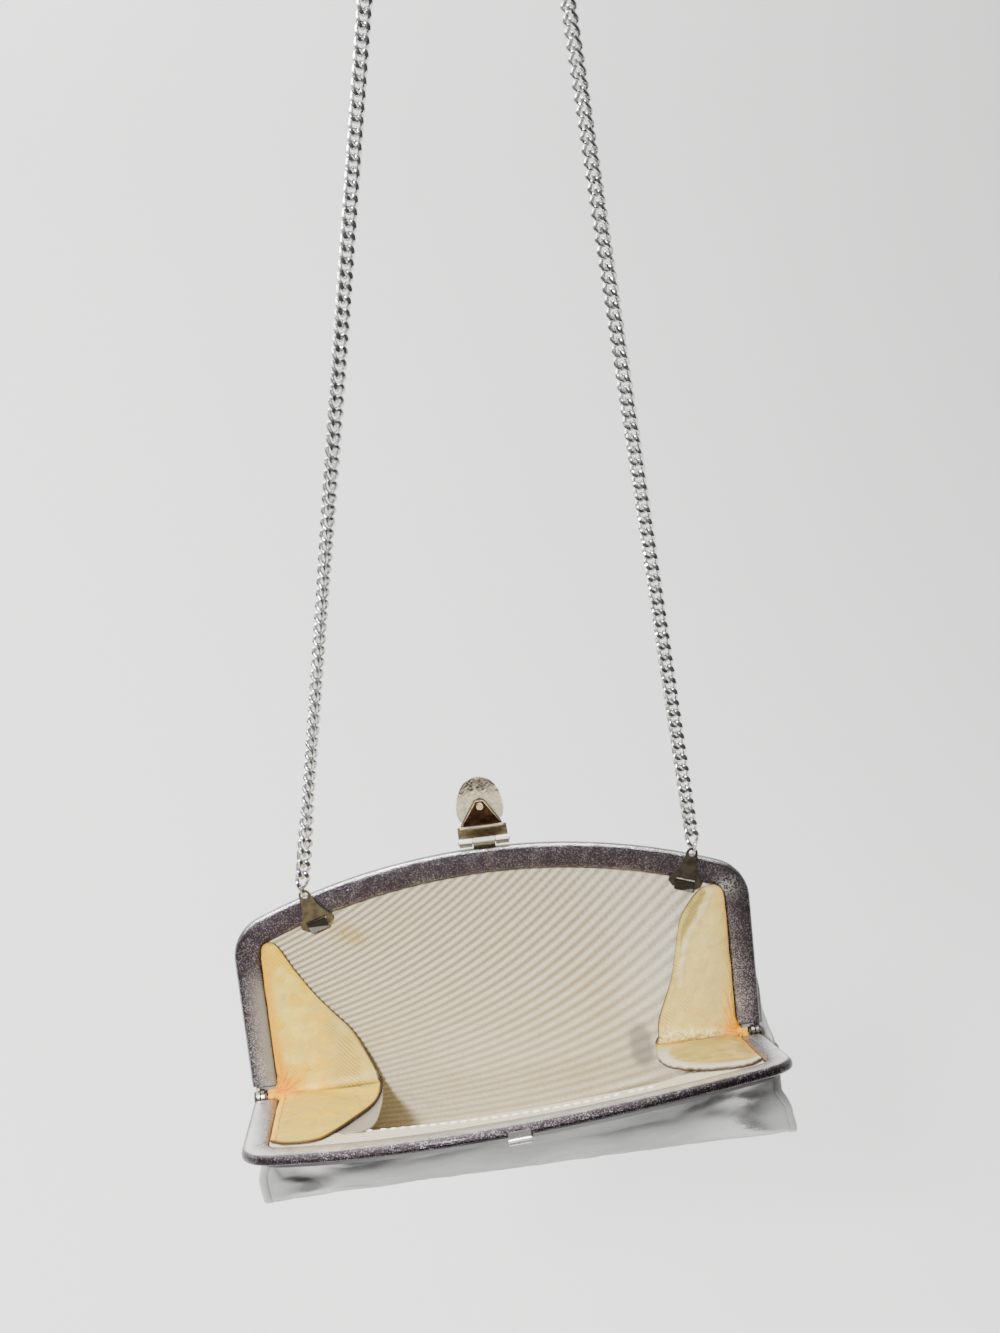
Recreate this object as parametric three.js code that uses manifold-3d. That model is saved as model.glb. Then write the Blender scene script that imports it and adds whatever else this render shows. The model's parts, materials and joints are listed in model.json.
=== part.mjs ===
// A framed evening bag in silver leather, standing open as it hangs from its chain.
// Two hinged U-shaped rails carry the leather pouch, an ivory lining and folded satin side gussets.
// A fold-over clasp stands on the back rail and a long chain runs from two hangers up to the hook.
//
// Millimetres, +Z up. The origin is where the chain lies on its hook. The bag itself is modelled in its
// own upright frame: X along the hinge line, Y to the back, Z up from the hinge line.

import * as THREE from "three";
import { mergeVertices } from "three/addons/utils/BufferGeometryUtils.js";
import Module from "manifold-3d";

const wasm = await Module();
wasm.setup();

// Rails
const HINGE_HALF = 98;
const CORNER_HALF = 97.4;
const CORNER_RISE = 66.3;
const ARCH_RISE = 87.3;
const CORNER_RADIUS = 16.8;
const RAIL_WIDTH = 9.5;
const RAIL_THICK = 3.6;
const RAIL_BEVEL = 0.9;
const LEG_FOOT = 4.2;
const PARTING = 0.25;
const GAP = 0.3;

// How far the front half stands open, and how much more the left leg opens than the right
const OPEN_ANGLE = THREE.MathUtils.degToRad(76.5);
const OPEN_TWIST = THREE.MathUtils.degToRad(3.4);

// Leather, lining and gussets
const LEATHER = 1.2;
const LINING = 1.0;
const SATIN = 1.0;
const POUCH_DEPTH = 43;
const LINING_DEPTH = 37.5;
const LEATHER_INSET = 1.2;

// Chain and hook
const CHAIN_RADIUS = 2.5;
const CHAIN_MEETS = { x: 43.9, z: 641.1 };
const HOOK_BEND = 5;
const CHAIN_SIDES = 8;

// Sides of small round metal pieces
const ROUND_SIDES = 12;

// Hangers on the back rail, and the rings that join them to the chain
const HANGERS = [
  { side: "left", x: -68 },
  { side: "right", x: 76.4 },
];
const HANGER_THICK = 0.8;
const HANGER_HOLE = { z: 10.6, radius: 1.3 };
const HANGER_BAR = { bottom: -3, top: -1.2 };
const RING_RADIUS = 2.3;
const RING_WIRE = 0.5;

// Clasp
const CLASP_AXIS = { y: 2.05, z: 89.8 };
const CLASP_REST = THREE.MathUtils.degToRad(17);
const KNUCKLE_RADIUS = 1.7;
const KNUCKLE_BORE = 0.95;
const CLASP_HALF = 9.3;
const LEAF_HALF = 4.1;
const CLASP_LEG = 9.5;
const CLASP_PLATE = 0.9;
const PIN_PROUD = 0.4;
const RIVET_RISE = 10.1;
const RIVET_HOLE = 0.95;

const leather = new THREE.MeshStandardMaterial({ color: 0xb9b5b6, roughness: 0.38, metalness: 0.7 });
const railLeather = new THREE.MeshStandardMaterial({ color: 0x8d8488, roughness: 0.4, metalness: 0.6 });
const ivory = new THREE.MeshStandardMaterial({ color: 0xdcd6c2, roughness: 0.8, metalness: 0 });
const satin = new THREE.MeshStandardMaterial({ color: 0xd8c893, roughness: 0.55, metalness: 0 });
const nickel = new THREE.MeshStandardMaterial({ color: 0xa9a49b, roughness: 0.3, metalness: 1 });
const champagne = new THREE.MeshStandardMaterial({ color: 0xc3b594, roughness: 0.28, metalness: 1 });

// Small geometry helpers

// Keeps only merged positions, with every face pointing out of the solid.
function outward(geometry) {
  geometry.deleteAttribute("normal");
  geometry.deleteAttribute("uv");
  const merged = mergeVertices(geometry, 1e-4);
  const p = merged.attributes.position;
  const index = merged.index.array;
  const [a, b, c] = [new THREE.Vector3(), new THREE.Vector3(), new THREE.Vector3()];
  let volume = 0;
  for (let i = 0; i < index.length; i += 3) {
    a.fromBufferAttribute(p, index[i]);
    b.fromBufferAttribute(p, index[i + 1]);
    c.fromBufferAttribute(p, index[i + 2]);
    volume += a.dot(b.cross(c));
  }
  if (volume < 0) index.reverse();
  return merged;
}

function fromTriangles(points, triangles) {
  const geometry = new THREE.BufferGeometry().setFromPoints(points);
  geometry.setIndex(triangles);
  return outward(geometry);
}

function toManifold(geometry) {
  const solid = outward(geometry);
  const vertProperties = new Float32Array(solid.attributes.position.array);
  const triVerts = new Uint32Array(solid.index.array);
  return new wasm.Manifold(new wasm.Mesh({ numProp: 3, vertProperties, triVerts }));
}

function fromManifold(manifold) {
  const { vertProperties, triVerts } = manifold.getMesh();
  const geometry = new THREE.BufferGeometry();
  geometry.setAttribute("position", new THREE.BufferAttribute(vertProperties, 3));
  geometry.setIndex(new THREE.BufferAttribute(triVerts, 1));
  return geometry;
}

function mapped(geometry, place) {
  const p = geometry.attributes.position;
  for (let i = 0; i < p.count; i++) {
    const v = place(p.getX(i), p.getY(i), p.getZ(i));
    p.setXYZ(i, v.x, v.y, v.z);
  }
  return geometry;
}

// A plate whose outline is drawn in X and Z, with its back face at Y = 0 and its front at Y = -depth.
function plate(shape, depth, curveSegments = 8) {
  return new THREE.ExtrudeGeometry(shape, { depth, bevelEnabled: false, curveSegments }).rotateX(Math.PI / 2);
}

// A bar whose section is drawn in Y and Z, running along X about x = 0.
function bar(shape, length, curveSegments = 8) {
  return new THREE.ExtrudeGeometry(shape, { depth: length, bevelEnabled: false, curveSegments })
    .translate(0, 0, -length / 2)
    .rotateX(Math.PI / 2)
    .rotateZ(Math.PI / 2);
}

function polygon(...corners) {
  return new THREE.Shape(corners.map(([x, y]) => new THREE.Vector2(x, y)));
}

function circle(x, y, radius) {
  return new THREE.Path().absarc(x, y, radius, 0, 2 * Math.PI, false);
}

const mesh = (name, geometry, material) => {
  const made = new THREE.Mesh(outward(geometry), material);
  made.name = name;
  return made;
};

const lerp = THREE.MathUtils.lerp;
const smoothstep = THREE.MathUtils.smoothstep;
const steps = (count) => Array.from({ length: count }, (_, i) => (i + 1) / count);

// A closed wall of even thickness about a grid of surface points.
function wall(grid, thickness) {
  const rows = grid.length;
  const columns = grid[0].length;
  const at = (i, j) => grid[Math.min(Math.max(i, 0), rows - 1)][Math.min(Math.max(j, 0), columns - 1)];
  const faces = [[], []];
  for (let i = 0; i < rows; i++) {
    for (let j = 0; j < columns; j++) {
      const along = at(i, j + 1).clone().sub(at(i, j - 1));
      const down = at(i + 1, j).clone().sub(at(i - 1, j));
      const normal = along.cross(down).normalize().multiplyScalar(thickness / 2);
      faces[0].push(grid[i][j].clone().add(normal));
      faces[1].push(grid[i][j].clone().sub(normal));
    }
  }
  const count = rows * columns;
  const id = (i, j) => i * columns + j;
  const triangles = [];
  for (let i = 0; i + 1 < rows; i++) {
    for (let j = 0; j + 1 < columns; j++) {
      const [a, b, c, d] = [id(i, j), id(i, j + 1), id(i + 1, j + 1), id(i + 1, j)];
      triangles.push(a, b, c, a, c, d);
      triangles.push(a + count, c + count, b + count, a + count, d + count, c + count);
    }
  }
  const rim = [
    ...grid[0].slice(1).map((_, j) => id(0, j)),
    ...grid.slice(1).map((_, i) => id(i, columns - 1)),
    ...grid[0].slice(1).map((_, j) => id(rows - 1, columns - 1 - j)),
    ...grid.slice(1).map((_, i) => id(rows - 1 - i, 0)),
  ];
  rim.forEach((a, n) => {
    const b = rim[(n + 1) % rim.length];
    triangles.push(b, a, a + count, b, a + count, b + count);
  });
  return fromTriangles([...faces[0], ...faces[1]], triangles);
}

// A closed solid through rings of points, all with the same count, capped by a fan at both ends.
function loft(rings) {
  const sides = rings[0].length;
  const triangles = [];
  for (let r = 0; r + 1 < rings.length; r++) {
    for (let i = 0; i < sides; i++) {
      const a = r * sides + i;
      const b = r * sides + ((i + 1) % sides);
      triangles.push(a, b, b + sides, a, b + sides, a + sides);
    }
  }
  const last = (rings.length - 1) * sides;
  for (let i = 1; i + 1 < sides; i++) {
    triangles.push(0, i + 1, i);
    triangles.push(last, last + i, last + i + 1);
  }
  return fromTriangles(rings.flat(), triangles);
}

// The half-frame's outline: straight legs, rounded corners and one shallow arch.

const archRise = ARCH_RISE - CORNER_RISE;
const ARCH_RADIUS = (CORNER_HALF ** 2 + archRise ** 2) / (2 * archRise);
const ARCH_CENTRE = new THREE.Vector2(0, ARCH_RISE - ARCH_RADIUS);
const LEG = new THREE.Vector2(CORNER_HALF - HINGE_HALF, CORNER_RISE).normalize();
const INWARD = new THREE.Vector2(-LEG.y, LEG.x);

// The corner's centre lies one corner radius inside both the leg and the arch.
function cornerCentre() {
  const start = new THREE.Vector2(HINGE_HALF, 0).addScaledVector(INWARD, CORNER_RADIUS);
  const away = start.clone().sub(ARCH_CENTRE);
  const along = away.dot(LEG);
  const reach = (ARCH_RADIUS - CORNER_RADIUS) ** 2 - away.lengthSq() + along ** 2;
  return start.addScaledVector(LEG, Math.sqrt(reach) - along);
}
const CORNER = cornerCentre();
const CORNER_FROM = Math.atan2(-INWARD.y, -INWARD.x);
const CORNER_TO = CORNER.clone().sub(ARCH_CENTRE).angle();

// Points round the top of the outline, from the right leg to the left one, inset from the outer edge.
function topPoints(inset, cornerSteps, archSteps) {
  const point = (centre, radius, angle) =>
    new THREE.Vector2(centre.x + radius * Math.cos(angle), centre.y + radius * Math.sin(angle));
  const corner = [0, ...steps(cornerSteps)].map((f) =>
    point(CORNER, CORNER_RADIUS - inset, lerp(CORNER_FROM, CORNER_TO, f)),
  );
  const arch = steps(archSteps)
    .slice(0, -1)
    .map((f) => point(ARCH_CENTRE, ARCH_RADIUS - inset, lerp(CORNER_TO, Math.PI - CORNER_TO, f)));
  const mirrored = [...corner].reverse().map((p) => new THREE.Vector2(-p.x, p.y));
  return [...corner, ...arch, ...mirrored];
}

function legFoot(inset) {
  return new THREE.Vector2(HINGE_HALF, 0).addScaledVector(LEG, LEG_FOOT).addScaledVector(INWARD, inset);
}

// Opening the front half: a point of the closed bag swings forward about the hinge line.
const openingAt = (x) => OPEN_ANGLE - (OPEN_TWIST * x) / HINGE_HALF;

function swung(x, y, z) {
  const angle = openingAt(x);
  const [sine, cosine] = [Math.sin(angle), Math.cos(angle)];
  return new THREE.Vector3(x, y * cosine - z * sine, y * sine + z * cosine);
}
const opened = (geometry) => mapped(geometry, swung);

// Leather-covered rails

function railGeometry() {
  const CORNER_STEPS = 7;
  const ARCH_STEPS = 22;
  const edge = (inset) => {
    const foot = legFoot(inset);
    return [foot, ...topPoints(inset, CORNER_STEPS, ARCH_STEPS), new THREE.Vector2(-foot.x, foot.y)];
  };
  const shape = new THREE.Shape([...edge(0), ...edge(RAIL_WIDTH).reverse()]);
  const extrusion = {
    depth: RAIL_THICK - 2 * RAIL_BEVEL,
    bevelSize: RAIL_BEVEL,
    bevelThickness: RAIL_BEVEL,
    bevelOffset: -RAIL_BEVEL,
    bevelSegments: 1,
  };
  return new THREE.ExtrudeGeometry(shape, extrusion)
    .rotateX(Math.PI / 2)
    .translate(0, -PARTING - RAIL_BEVEL, 0);
}

function rails() {
  const back = railGeometry().translate(0, 2 * PARTING + RAIL_THICK, 0);
  const front = opened(railGeometry());
  return [mesh("back_frame_rail", back, railLeather), mesh("front_frame_rail", front, railLeather)];
}

// Hinge ears on the legs' feet, riveted together at each side

function hinges() {
  const EAR = { radius: 3, thick: 1.2, hole: 1.65, shoulder: 0.4 };
  const TAB = { inner: 0.5, outer: 3.4, top: LEG_FOOT - GAP };
  const BACK_EAR_X = 96;
  const FRONT_EAR_X = 94.3;
  const RIVET = { shank: 1.3, head: 2.3, headThick: 0.7, half: 2.45 };
  const made = [];

  const ear = new THREE.Shape();
  ear.moveTo(TAB.outer, TAB.top);
  ear.lineTo(TAB.inner, TAB.top);
  ear.absarc(0, 0, EAR.radius, Math.acos(TAB.inner / EAR.radius), 2 * Math.PI + EAR.shoulder, false);
  ear.holes.push(circle(0, 0, EAR.hole));

  const { shank, head, headThick, half } = RIVET;
  const rivetProfile = [
    [0, -half],
    [head, -half],
    [head, headThick - half],
    [shank, headThick - half],
    [shank, half - headThick],
    [head, half - headThick],
    [head, half],
    [0, half],
  ].map(([r, y]) => new THREE.Vector2(r, y));

  for (const [side, sign] of [["left", -1], ["right", 1]]) {
    const back = bar(ear, EAR.thick).translate(sign * BACK_EAR_X, 0, 0);
    const front = opened(bar(ear, EAR.thick).rotateZ(Math.PI).translate(sign * FRONT_EAR_X, 0, 0));
    const rivet = new THREE.LatheGeometry(rivetProfile, ROUND_SIDES)
      .rotateZ(Math.PI / 2)
      .translate((sign * (BACK_EAR_X + FRONT_EAR_X)) / 2, 0, 0);
    made.push(mesh(`hinge_ear_back_${side}`, back, nickel));
    made.push(mesh(`hinge_ear_front_${side}`, front, nickel));
    made.push(mesh(`hinge_rivet_${side}`, rivet, nickel));
  }
  return made;
}

// The pouch: one wall that runs down the back, round the bottom fold and up to the front rail.
// A column hugs the hinge line at the sides and hangs straight across to the front rail in the middle.

const LEATHER_POUCH = {
  inset: LEATHER_INSET,
  offset: PARTING + RAIL_THICK + GAP + LEATHER / 2,
  thickness: LEATHER,
  depth: POUCH_DEPTH,
  seam: 1.2,
  belly: 6.5,
  leavesRail: 11,
  softness: 22,
  frontTaper: 0.045,
  cornerSteps: 7,
  archSteps: 20,
  rows: { upper: 7, lower: 3, fold: 3 },
  spread: [
    { height: 36, left: 0, right: 0 },
    { height: 12, left: 0.2, right: 3 },
    { height: -8, left: 0.6, right: 6.6 },
    { height: -24, left: 0.8, right: 6.4 },
    { height: -34, left: 3.2, right: 10.4 },
    { height: -POUCH_DEPTH, left: 2.6, right: 11.4 },
  ],
  folds: [
    { x: -80, lean: 0.5, width: 8, depth: -2.0 },
    { x: -56, lean: 0.35, width: 9, depth: 1.6 },
    { x: -14, lean: 0.1, width: 12, depth: -1.2 },
    { x: 34, lean: -0.2, width: 12, depth: 1.0 },
    { x: 76, lean: -0.45, width: 9, depth: -1.6 },
  ],
};

const LINING_POUCH = {
  inset: RAIL_WIDTH + 0.4,
  offset: PARTING + 1 + LINING / 2,
  thickness: LINING,
  depth: LINING_DEPTH,
  seam: 1.0,
  belly: 3.4,
  leavesRail: 6,
  softness: 24,
  frontTaper: 0,
  cornerSteps: 4,
  archSteps: 16,
  rows: { upper: 6, lower: 2, fold: 2 },
  spread: [
    { height: 12, left: 0, right: 0 },
    { height: -2, left: 0.3, right: 0.3 },
    { height: -12, left: 3.4, right: 3.4 },
    { height: -28, left: 3.4, right: 3.4 },
    { height: -LINING_DEPTH, left: 2, right: 2 },
  ],
  folds: [],
};

// Reads a table of rows that go down in height, easing from row to row.
function spreadAt(rows, height, side) {
  const next = rows.findIndex((row) => row.height <= height);
  if (next === 0) return rows[0][side];
  if (next < 0) return rows[rows.length - 1][side];
  const [above, below] = [rows[next - 1], rows[next]];
  return lerp(below[side], above[side], smoothstep(height, below.height, above.height));
}

function pouchColumn(pouch, top, legHalf) {
  const { offset, depth, rows } = pouch;
  const across = top.x / legHalf;
  const round = Math.sqrt(Math.max(0, 1 - across ** 2));
  const plump = pouch.seam + (pouch.belly - pouch.seam) * round;
  const side = across < 0 ? "left" : "right";
  const xAt = (height) => across * (legHalf + spreadAt(pouch.spread, height, side));
  const NECK = 14;
  const TAPER = { from: 4, to: 30 };
  const HUG = { from: 0.55, to: 0.98 };
  const FOLDS_END = 0.75;
  const FOLD_PUSH = { y: -0.6, z: -0.8 };

  // The front wall is narrower than its rail.
  const frontX = (rise) => xAt(rise) * (1 - pouch.frontTaper * smoothstep(rise, TAPER.from, TAPER.to));

  // Half the pouch's thickness below the hinge line, rounded off into the bottom fold.
  const half = (height) => {
    const into = Math.max(0, -height - (depth - plump)) / plump;
    const body = lerp(offset, plump, smoothstep(-height, 0, NECK));
    return body * Math.sqrt(Math.max(0, 1 - into ** 2));
  };

  // The front wall as it hugs the hinge corner, and as it hangs free, measured up from the bottom.
  const angle = openingAt(top.x);
  const cut = offset * Math.tan(angle / 2);
  const lower = depth - cut;
  const length = lower + top.y - cut;
  const hugging = (up) => {
    if (up <= lower) return new THREE.Vector3(xAt(up - depth), -half(up - depth), up - depth);
    const rise = up - lower + cut;
    return swung(frontX(rise), -offset, rise);
  };
  const leave = Math.max(top.y - pouch.leavesRail, cut + 1);
  const bend = length - (top.y - leave);
  const end = swung(frontX(leave), -offset, leave);
  const inPlane = swung(frontX(leave), -offset, leave - pouch.softness);
  const bottom = new THREE.Vector3(xAt(-depth), 0, -depth);
  const free = (up) => {
    if (up >= bend) return hugging(up);
    return new THREE.QuadraticBezierCurve3(bottom, inPlane, end).getPoint(up / bend);
  };
  const hug = smoothstep(Math.abs(across), HUG.from, HUG.to);
  const front = (up) => {
    const point = free(up).lerp(hugging(up), hug);
    const where = up / length;
    const swell = Math.sin(Math.PI * Math.min(1, where / FOLDS_END)) ** 2 * (1 - hug);
    for (const fold of pouch.folds) {
      const off = (point.x - fold.x - fold.lean * (up - depth)) / fold.width;
      const push = fold.depth * swell * Math.exp(-off * off);
      point.y += push * FOLD_PUSH.y;
      point.z += push * FOLD_PUSH.z;
    }
    return point;
  };

  const foldHeights = steps(rows.fold).map((f) => plump * Math.sin((f * Math.PI) / 2));
  const column = [];
  const back = (height) => column.push(new THREE.Vector3(xAt(height), half(height), height));
  const backTop = (height) => column.push(new THREE.Vector3(xAt(height), offset, height));
  backTop(top.y);
  steps(rows.upper).forEach((f) => backTop(lerp(top.y, 0, f)));
  steps(rows.lower).forEach((f) => back(lerp(0, plump - depth, f)));
  foldHeights.forEach((drop) => back(plump - depth - drop));
  [...foldHeights].reverse().slice(1).forEach((drop) => column.push(front(plump - drop)));
  column.push(front(plump));
  steps(rows.lower).forEach((f) => column.push(front(lerp(plump, lower, f))));
  steps(rows.upper).forEach((f) => column.push(front(lerp(lower, length, f))));
  return column;
}

function pouchWall(pouch) {
  const tops = topPoints(pouch.inset, pouch.cornerSteps, pouch.archSteps);
  const legHalf = tops[0].x;
  return wall(
    tops.map((top) => pouchColumn(pouch, top, legHalf)),
    pouch.thickness,
  );
}

function pouch() {
  return [
    mesh("leather_body", pouchWall(LEATHER_POUCH), leather),
    mesh("lining", pouchWall(LINING_POUCH), ivory),
  ];
}

// Satin gussets: each spreads from the hinge along both legs and folds inward along a crease.
// The rows follow its free edge, on the back half and on the half that swings open with the front rail.

const GUSSETS = [
  {
    side: "left",
    sign: -1,
    crease: 48.6,
    back: [
      { x: 87.2, up: 54.6 },
      { x: 85.4, up: 58.4 },
      { x: 80.8, up: 58.4 },
      { x: 75.6, up: 49.5 },
      { x: 69.5, up: 39.3 },
      { x: 63.1, up: 30.7 },
      { x: 57.3, up: 22.9 },
      { x: 51.5, up: 10.2 },
    ],
    front: [
      { x: 49.6, up: 16 },
      { x: 52.2, up: 29.7 },
      { x: 58.6, up: 43.9 },
      { x: 64.5, up: 54.9 },
      { x: 70.6, up: 61.8 },
      { x: 81, up: 60.2 },
      { x: 87.2, up: 54.6 },
    ],
  },
  {
    side: "right",
    sign: 1,
    crease: 56.5,
    back: [
      { x: 87.2, up: 54.6 },
      { x: 85.4, up: 58.4 },
      { x: 81.8, up: 60.4 },
      { x: 75, up: 60.2 },
      { x: 70.3, up: 52 },
      { x: 67.8, up: 42.2 },
      { x: 64.4, up: 27 },
      { x: 58.8, up: 12 },
    ],
    front: [
      { x: 55.2, up: 13 },
      { x: 54.2, up: 30 },
      { x: 56.8, up: 44 },
      { x: 64.7, up: 55 },
      { x: 74, up: 59.6 },
      { x: 82, up: 59.8 },
      { x: 87.2, up: 54.6 },
    ],
  },
];

function gussetWall({ sign, crease, back, front }) {
  const LEG_X = 87.6;
  const INTO_RAIL = 0.4;
  const FAN = [0.08, 0.3, 0.55, 0.8, 1];
  const CREASE = { y: -2.6, z: 1.2 };
  const hinge = new THREE.Vector3(sign * LEG_X, 0, 0);
  const standOff = (row) => lerp(INTO_RAIL, CREASE.y, row / back.length);
  const backEdge = back.map(({ x, up }, row) => new THREE.Vector3(sign * x, standOff(row), up));
  const creaseEnd = new THREE.Vector3(sign * crease, CREASE.y, CREASE.z);
  const frontEdge = front.map(({ x, up }) => swung(sign * x, -INTO_RAIL, up));
  return wall(
    [...backEdge, creaseEnd, ...frontEdge].map((point) => FAN.map((f) => hinge.clone().lerp(point, f))),
    SATIN,
  );
}

function gussets() {
  return GUSSETS.map((gusset) => mesh(`gusset_${gusset.side}`, gussetWall(gusset), satin));
}

// Fold-over clasp: a fixed leaf on the back rail, a pin, and a flap that carries the ornament

function alongX(radius, length) {
  return new THREE.CylinderGeometry(radius, radius, length, ROUND_SIDES).rotateZ(Math.PI / 2);
}

function claspLeaf() {
  const FOOT = { half: 1.75, bottom: ARCH_RISE + GAP - CLASP_AXIS.z, thick: 0.9 };
  const top = FOOT.bottom + FOOT.thick;
  const from = Math.asin(top / KNUCKLE_RADIUS);
  const section = new THREE.Shape();
  section.moveTo(-FOOT.half, FOOT.bottom);
  section.lineTo(FOOT.half, FOOT.bottom);
  section.lineTo(FOOT.half, top);
  section.absarc(0, 0, KNUCKLE_RADIUS, from, Math.PI - from, false);
  section.lineTo(-FOOT.half, top);
  section.holes.push(circle(0, 0, KNUCKLE_BORE));
  return bar(section, 2 * LEAF_HALF);
}

function claspFlap() {
  const knuckleLength = CLASP_HALF - LEAF_HALF - GAP;
  const knuckleX = LEAF_HALF + GAP + knuckleLength / 2;
  const NOTCH_CLEARANCE = 0.6;
  const notch = LEAF_HALF + GAP;
  const clear = KNUCKLE_RADIUS + NOTCH_CLEARANCE;
  const leg = new THREE.ExtrudeGeometry(
    polygon(
      [-CLASP_HALF, 0],
      [-notch, 0],
      [-notch, clear],
      [notch, clear],
      [notch, 0],
      [CLASP_HALF, 0],
      [CLASP_HALF, CLASP_LEG],
      [-CLASP_HALF, CLASP_LEG],
    ),
    { depth: CLASP_PLATE, bevelEnabled: false },
  ).translate(0, 0, -CLASP_PLATE / 2);

  const TONGUE = { foot: 8.4, shoulder: 7.6, shoulderRise: 2, tip: 1.9, tipRise: 12.2, rise: 13 };
  const outline = polygon(
    [-TONGUE.foot, -CLASP_PLATE / 2],
    [TONGUE.foot, -CLASP_PLATE / 2],
    [TONGUE.shoulder, TONGUE.shoulderRise],
    [TONGUE.tip, TONGUE.tipRise],
    [0, TONGUE.rise],
    [-TONGUE.tip, TONGUE.tipRise],
    [-TONGUE.shoulder, TONGUE.shoulderRise],
  );
  outline.holes.push(circle(0, RIVET_RISE, RIVET_HOLE));
  const tongue = plate(outline, CLASP_PLATE, 5).translate(0, CLASP_LEG, 0);

  let flap = toManifold(leg).add(toManifold(tongue));
  for (const sign of [-1, 1]) {
    flap = flap.add(toManifold(alongX(KNUCKLE_RADIUS, knuckleLength).translate(sign * knuckleX, 0, 0)));
  }
  return fromManifold(flap.subtract(toManifold(alongX(KNUCKLE_BORE, 4 * CLASP_HALF))));
}

// The ornament's outline widens below and rounds over at the top; its outer face is domed.
function claspOrnament() {
  const OUTLINE = [
    { rise: 2.6, half: 7.7, dome: 1.6 },
    { rise: 4.2, half: 8.4, dome: 2.8 },
    { rise: 7.0, half: 8.9, dome: 3.6 },
    { rise: 9.6, half: 8.8, dome: 4.0 },
    { rise: 12.2, half: 8.4, dome: 4.0 },
    { rise: 15.2, half: 7.6, dome: 3.8 },
    { rise: 18.2, half: 6.3, dome: 3.2 },
    { rise: 20.2, half: 4.6, dome: 2.3 },
    { rise: 21.4, half: 2.4, dome: 1.4 },
  ];
  const DOME_STEPS = 10;
  const back = CLASP_LEG + GAP;
  const ring = ({ rise, half, dome }) =>
    [0, ...steps(DOME_STEPS)].map((f) => {
      const angle = f * Math.PI;
      return new THREE.Vector3(half * Math.cos(angle), back + dome * Math.sin(angle), rise);
    });
  return loft(OUTLINE.map(ring));
}

function claspRivet() {
  const HEAD = { radius: 1.6, thick: 0.75, crown: 0.8 };
  const SHANK = 0.6;
  const under = CLASP_LEG - CLASP_PLATE - GAP;
  const profile = [
    [0, CLASP_LEG],
    [SHANK, CLASP_LEG],
    [SHANK, under],
    [HEAD.radius, under],
    [HEAD.radius * HEAD.crown, under - HEAD.thick],
    [0, under - HEAD.thick],
  ].map(([r, y]) => new THREE.Vector2(r, y));
  return new THREE.LatheGeometry(profile, ROUND_SIDES).translate(0, 0, RIVET_RISE);
}

function clasp() {
  const fixed = new THREE.Group();
  fixed.position.set(0, CLASP_AXIS.y, CLASP_AXIS.z);
  const flap = new THREE.Group();
  flap.rotation.x = CLASP_REST;
  fixed.add(
    mesh("clasp_leaf", claspLeaf(), champagne),
    mesh("clasp_pin", alongX(KNUCKLE_BORE - GAP, 2 * (CLASP_HALF + PIN_PROUD)), nickel),
    flap,
  );
  flap.add(
    mesh("clasp_flap", claspFlap(), champagne),
    mesh("clasp_ornament", claspOrnament(), champagne),
    mesh("clasp_rivet", claspRivet(), nickel),
  );
  return fixed;
}

// The catch: a small strip rolled at its end, on the front rail's outer edge, which the clasp snaps over
function frontCatch() {
  const CATCH_X = -1.7;
  const HALF = 3.8;
  const STRIP = { back: -2, thick: 0.8 };
  const ROLL = { y: -5.25, rise: 0.6, radius: 1.15 };
  const under = ARCH_RISE + GAP;
  const centre = under + ROLL.rise;
  const above = Math.asin((STRIP.thick - ROLL.rise) / ROLL.radius);
  const below = Math.asin(ROLL.rise / ROLL.radius);
  const section = new THREE.Shape();
  section.moveTo(STRIP.back, under);
  section.lineTo(STRIP.back, under + STRIP.thick);
  section.absarc(ROLL.y, centre, ROLL.radius, above, 2 * Math.PI - below, false);
  return mesh("front_catch", opened(bar(section, 2 * HALF).translate(CATCH_X, 0, 0)), nickel);
}

// Chain hangers: a bell-shaped plate held by a strap at the rail's inner edge, with a ring at its top

function hangerPlate() {
  const BASE = { half: 6.2, foot: 4.4, corner: -1.5, top: 0.3 };
  const NECK = { half: 2.2, flare: 2.8, waist: 3.6 };
  const SLOT = { half: 3.9, top: 0.6 };
  const shape = new THREE.Shape();
  shape.moveTo(-BASE.foot, HANGER_BAR.bottom);
  shape.lineTo(BASE.foot, HANGER_BAR.bottom);
  shape.lineTo(BASE.half, BASE.corner);
  shape.lineTo(BASE.half, BASE.top);
  shape.quadraticCurveTo(NECK.flare, NECK.waist, NECK.half, HANGER_HOLE.z);
  shape.absarc(0, HANGER_HOLE.z, NECK.half, 0, Math.PI, false);
  shape.quadraticCurveTo(-NECK.flare, NECK.waist, -BASE.half, BASE.top);
  shape.lineTo(-BASE.half, BASE.corner);
  shape.holes.push(
    polygon(
      [-SLOT.half, HANGER_BAR.top],
      [SLOT.half, HANGER_BAR.top],
      [SLOT.half, SLOT.top],
      [-SLOT.half, SLOT.top],
    ),
    circle(0, HANGER_HOLE.z, HANGER_HOLE.radius),
  );
  return plate(shape, HANGER_THICK, 6);
}

// The strap wraps the plate's bottom bar from the front, through the slot.
function hangerStrap() {
  const WIDTH = 7;
  const STRAP = 0.6;
  const front = -HANGER_THICK - GAP;
  const back = 0;
  const low = HANGER_BAR.bottom - GAP;
  const high = HANGER_BAR.top + GAP;
  const section = polygon(
    [back, high],
    [front, high],
    [front, low],
    [back, low],
    [back, low - STRAP],
    [front - STRAP, low - STRAP],
    [front - STRAP, high + STRAP],
    [back, high + STRAP],
  );
  return bar(section, WIDTH);
}

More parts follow.
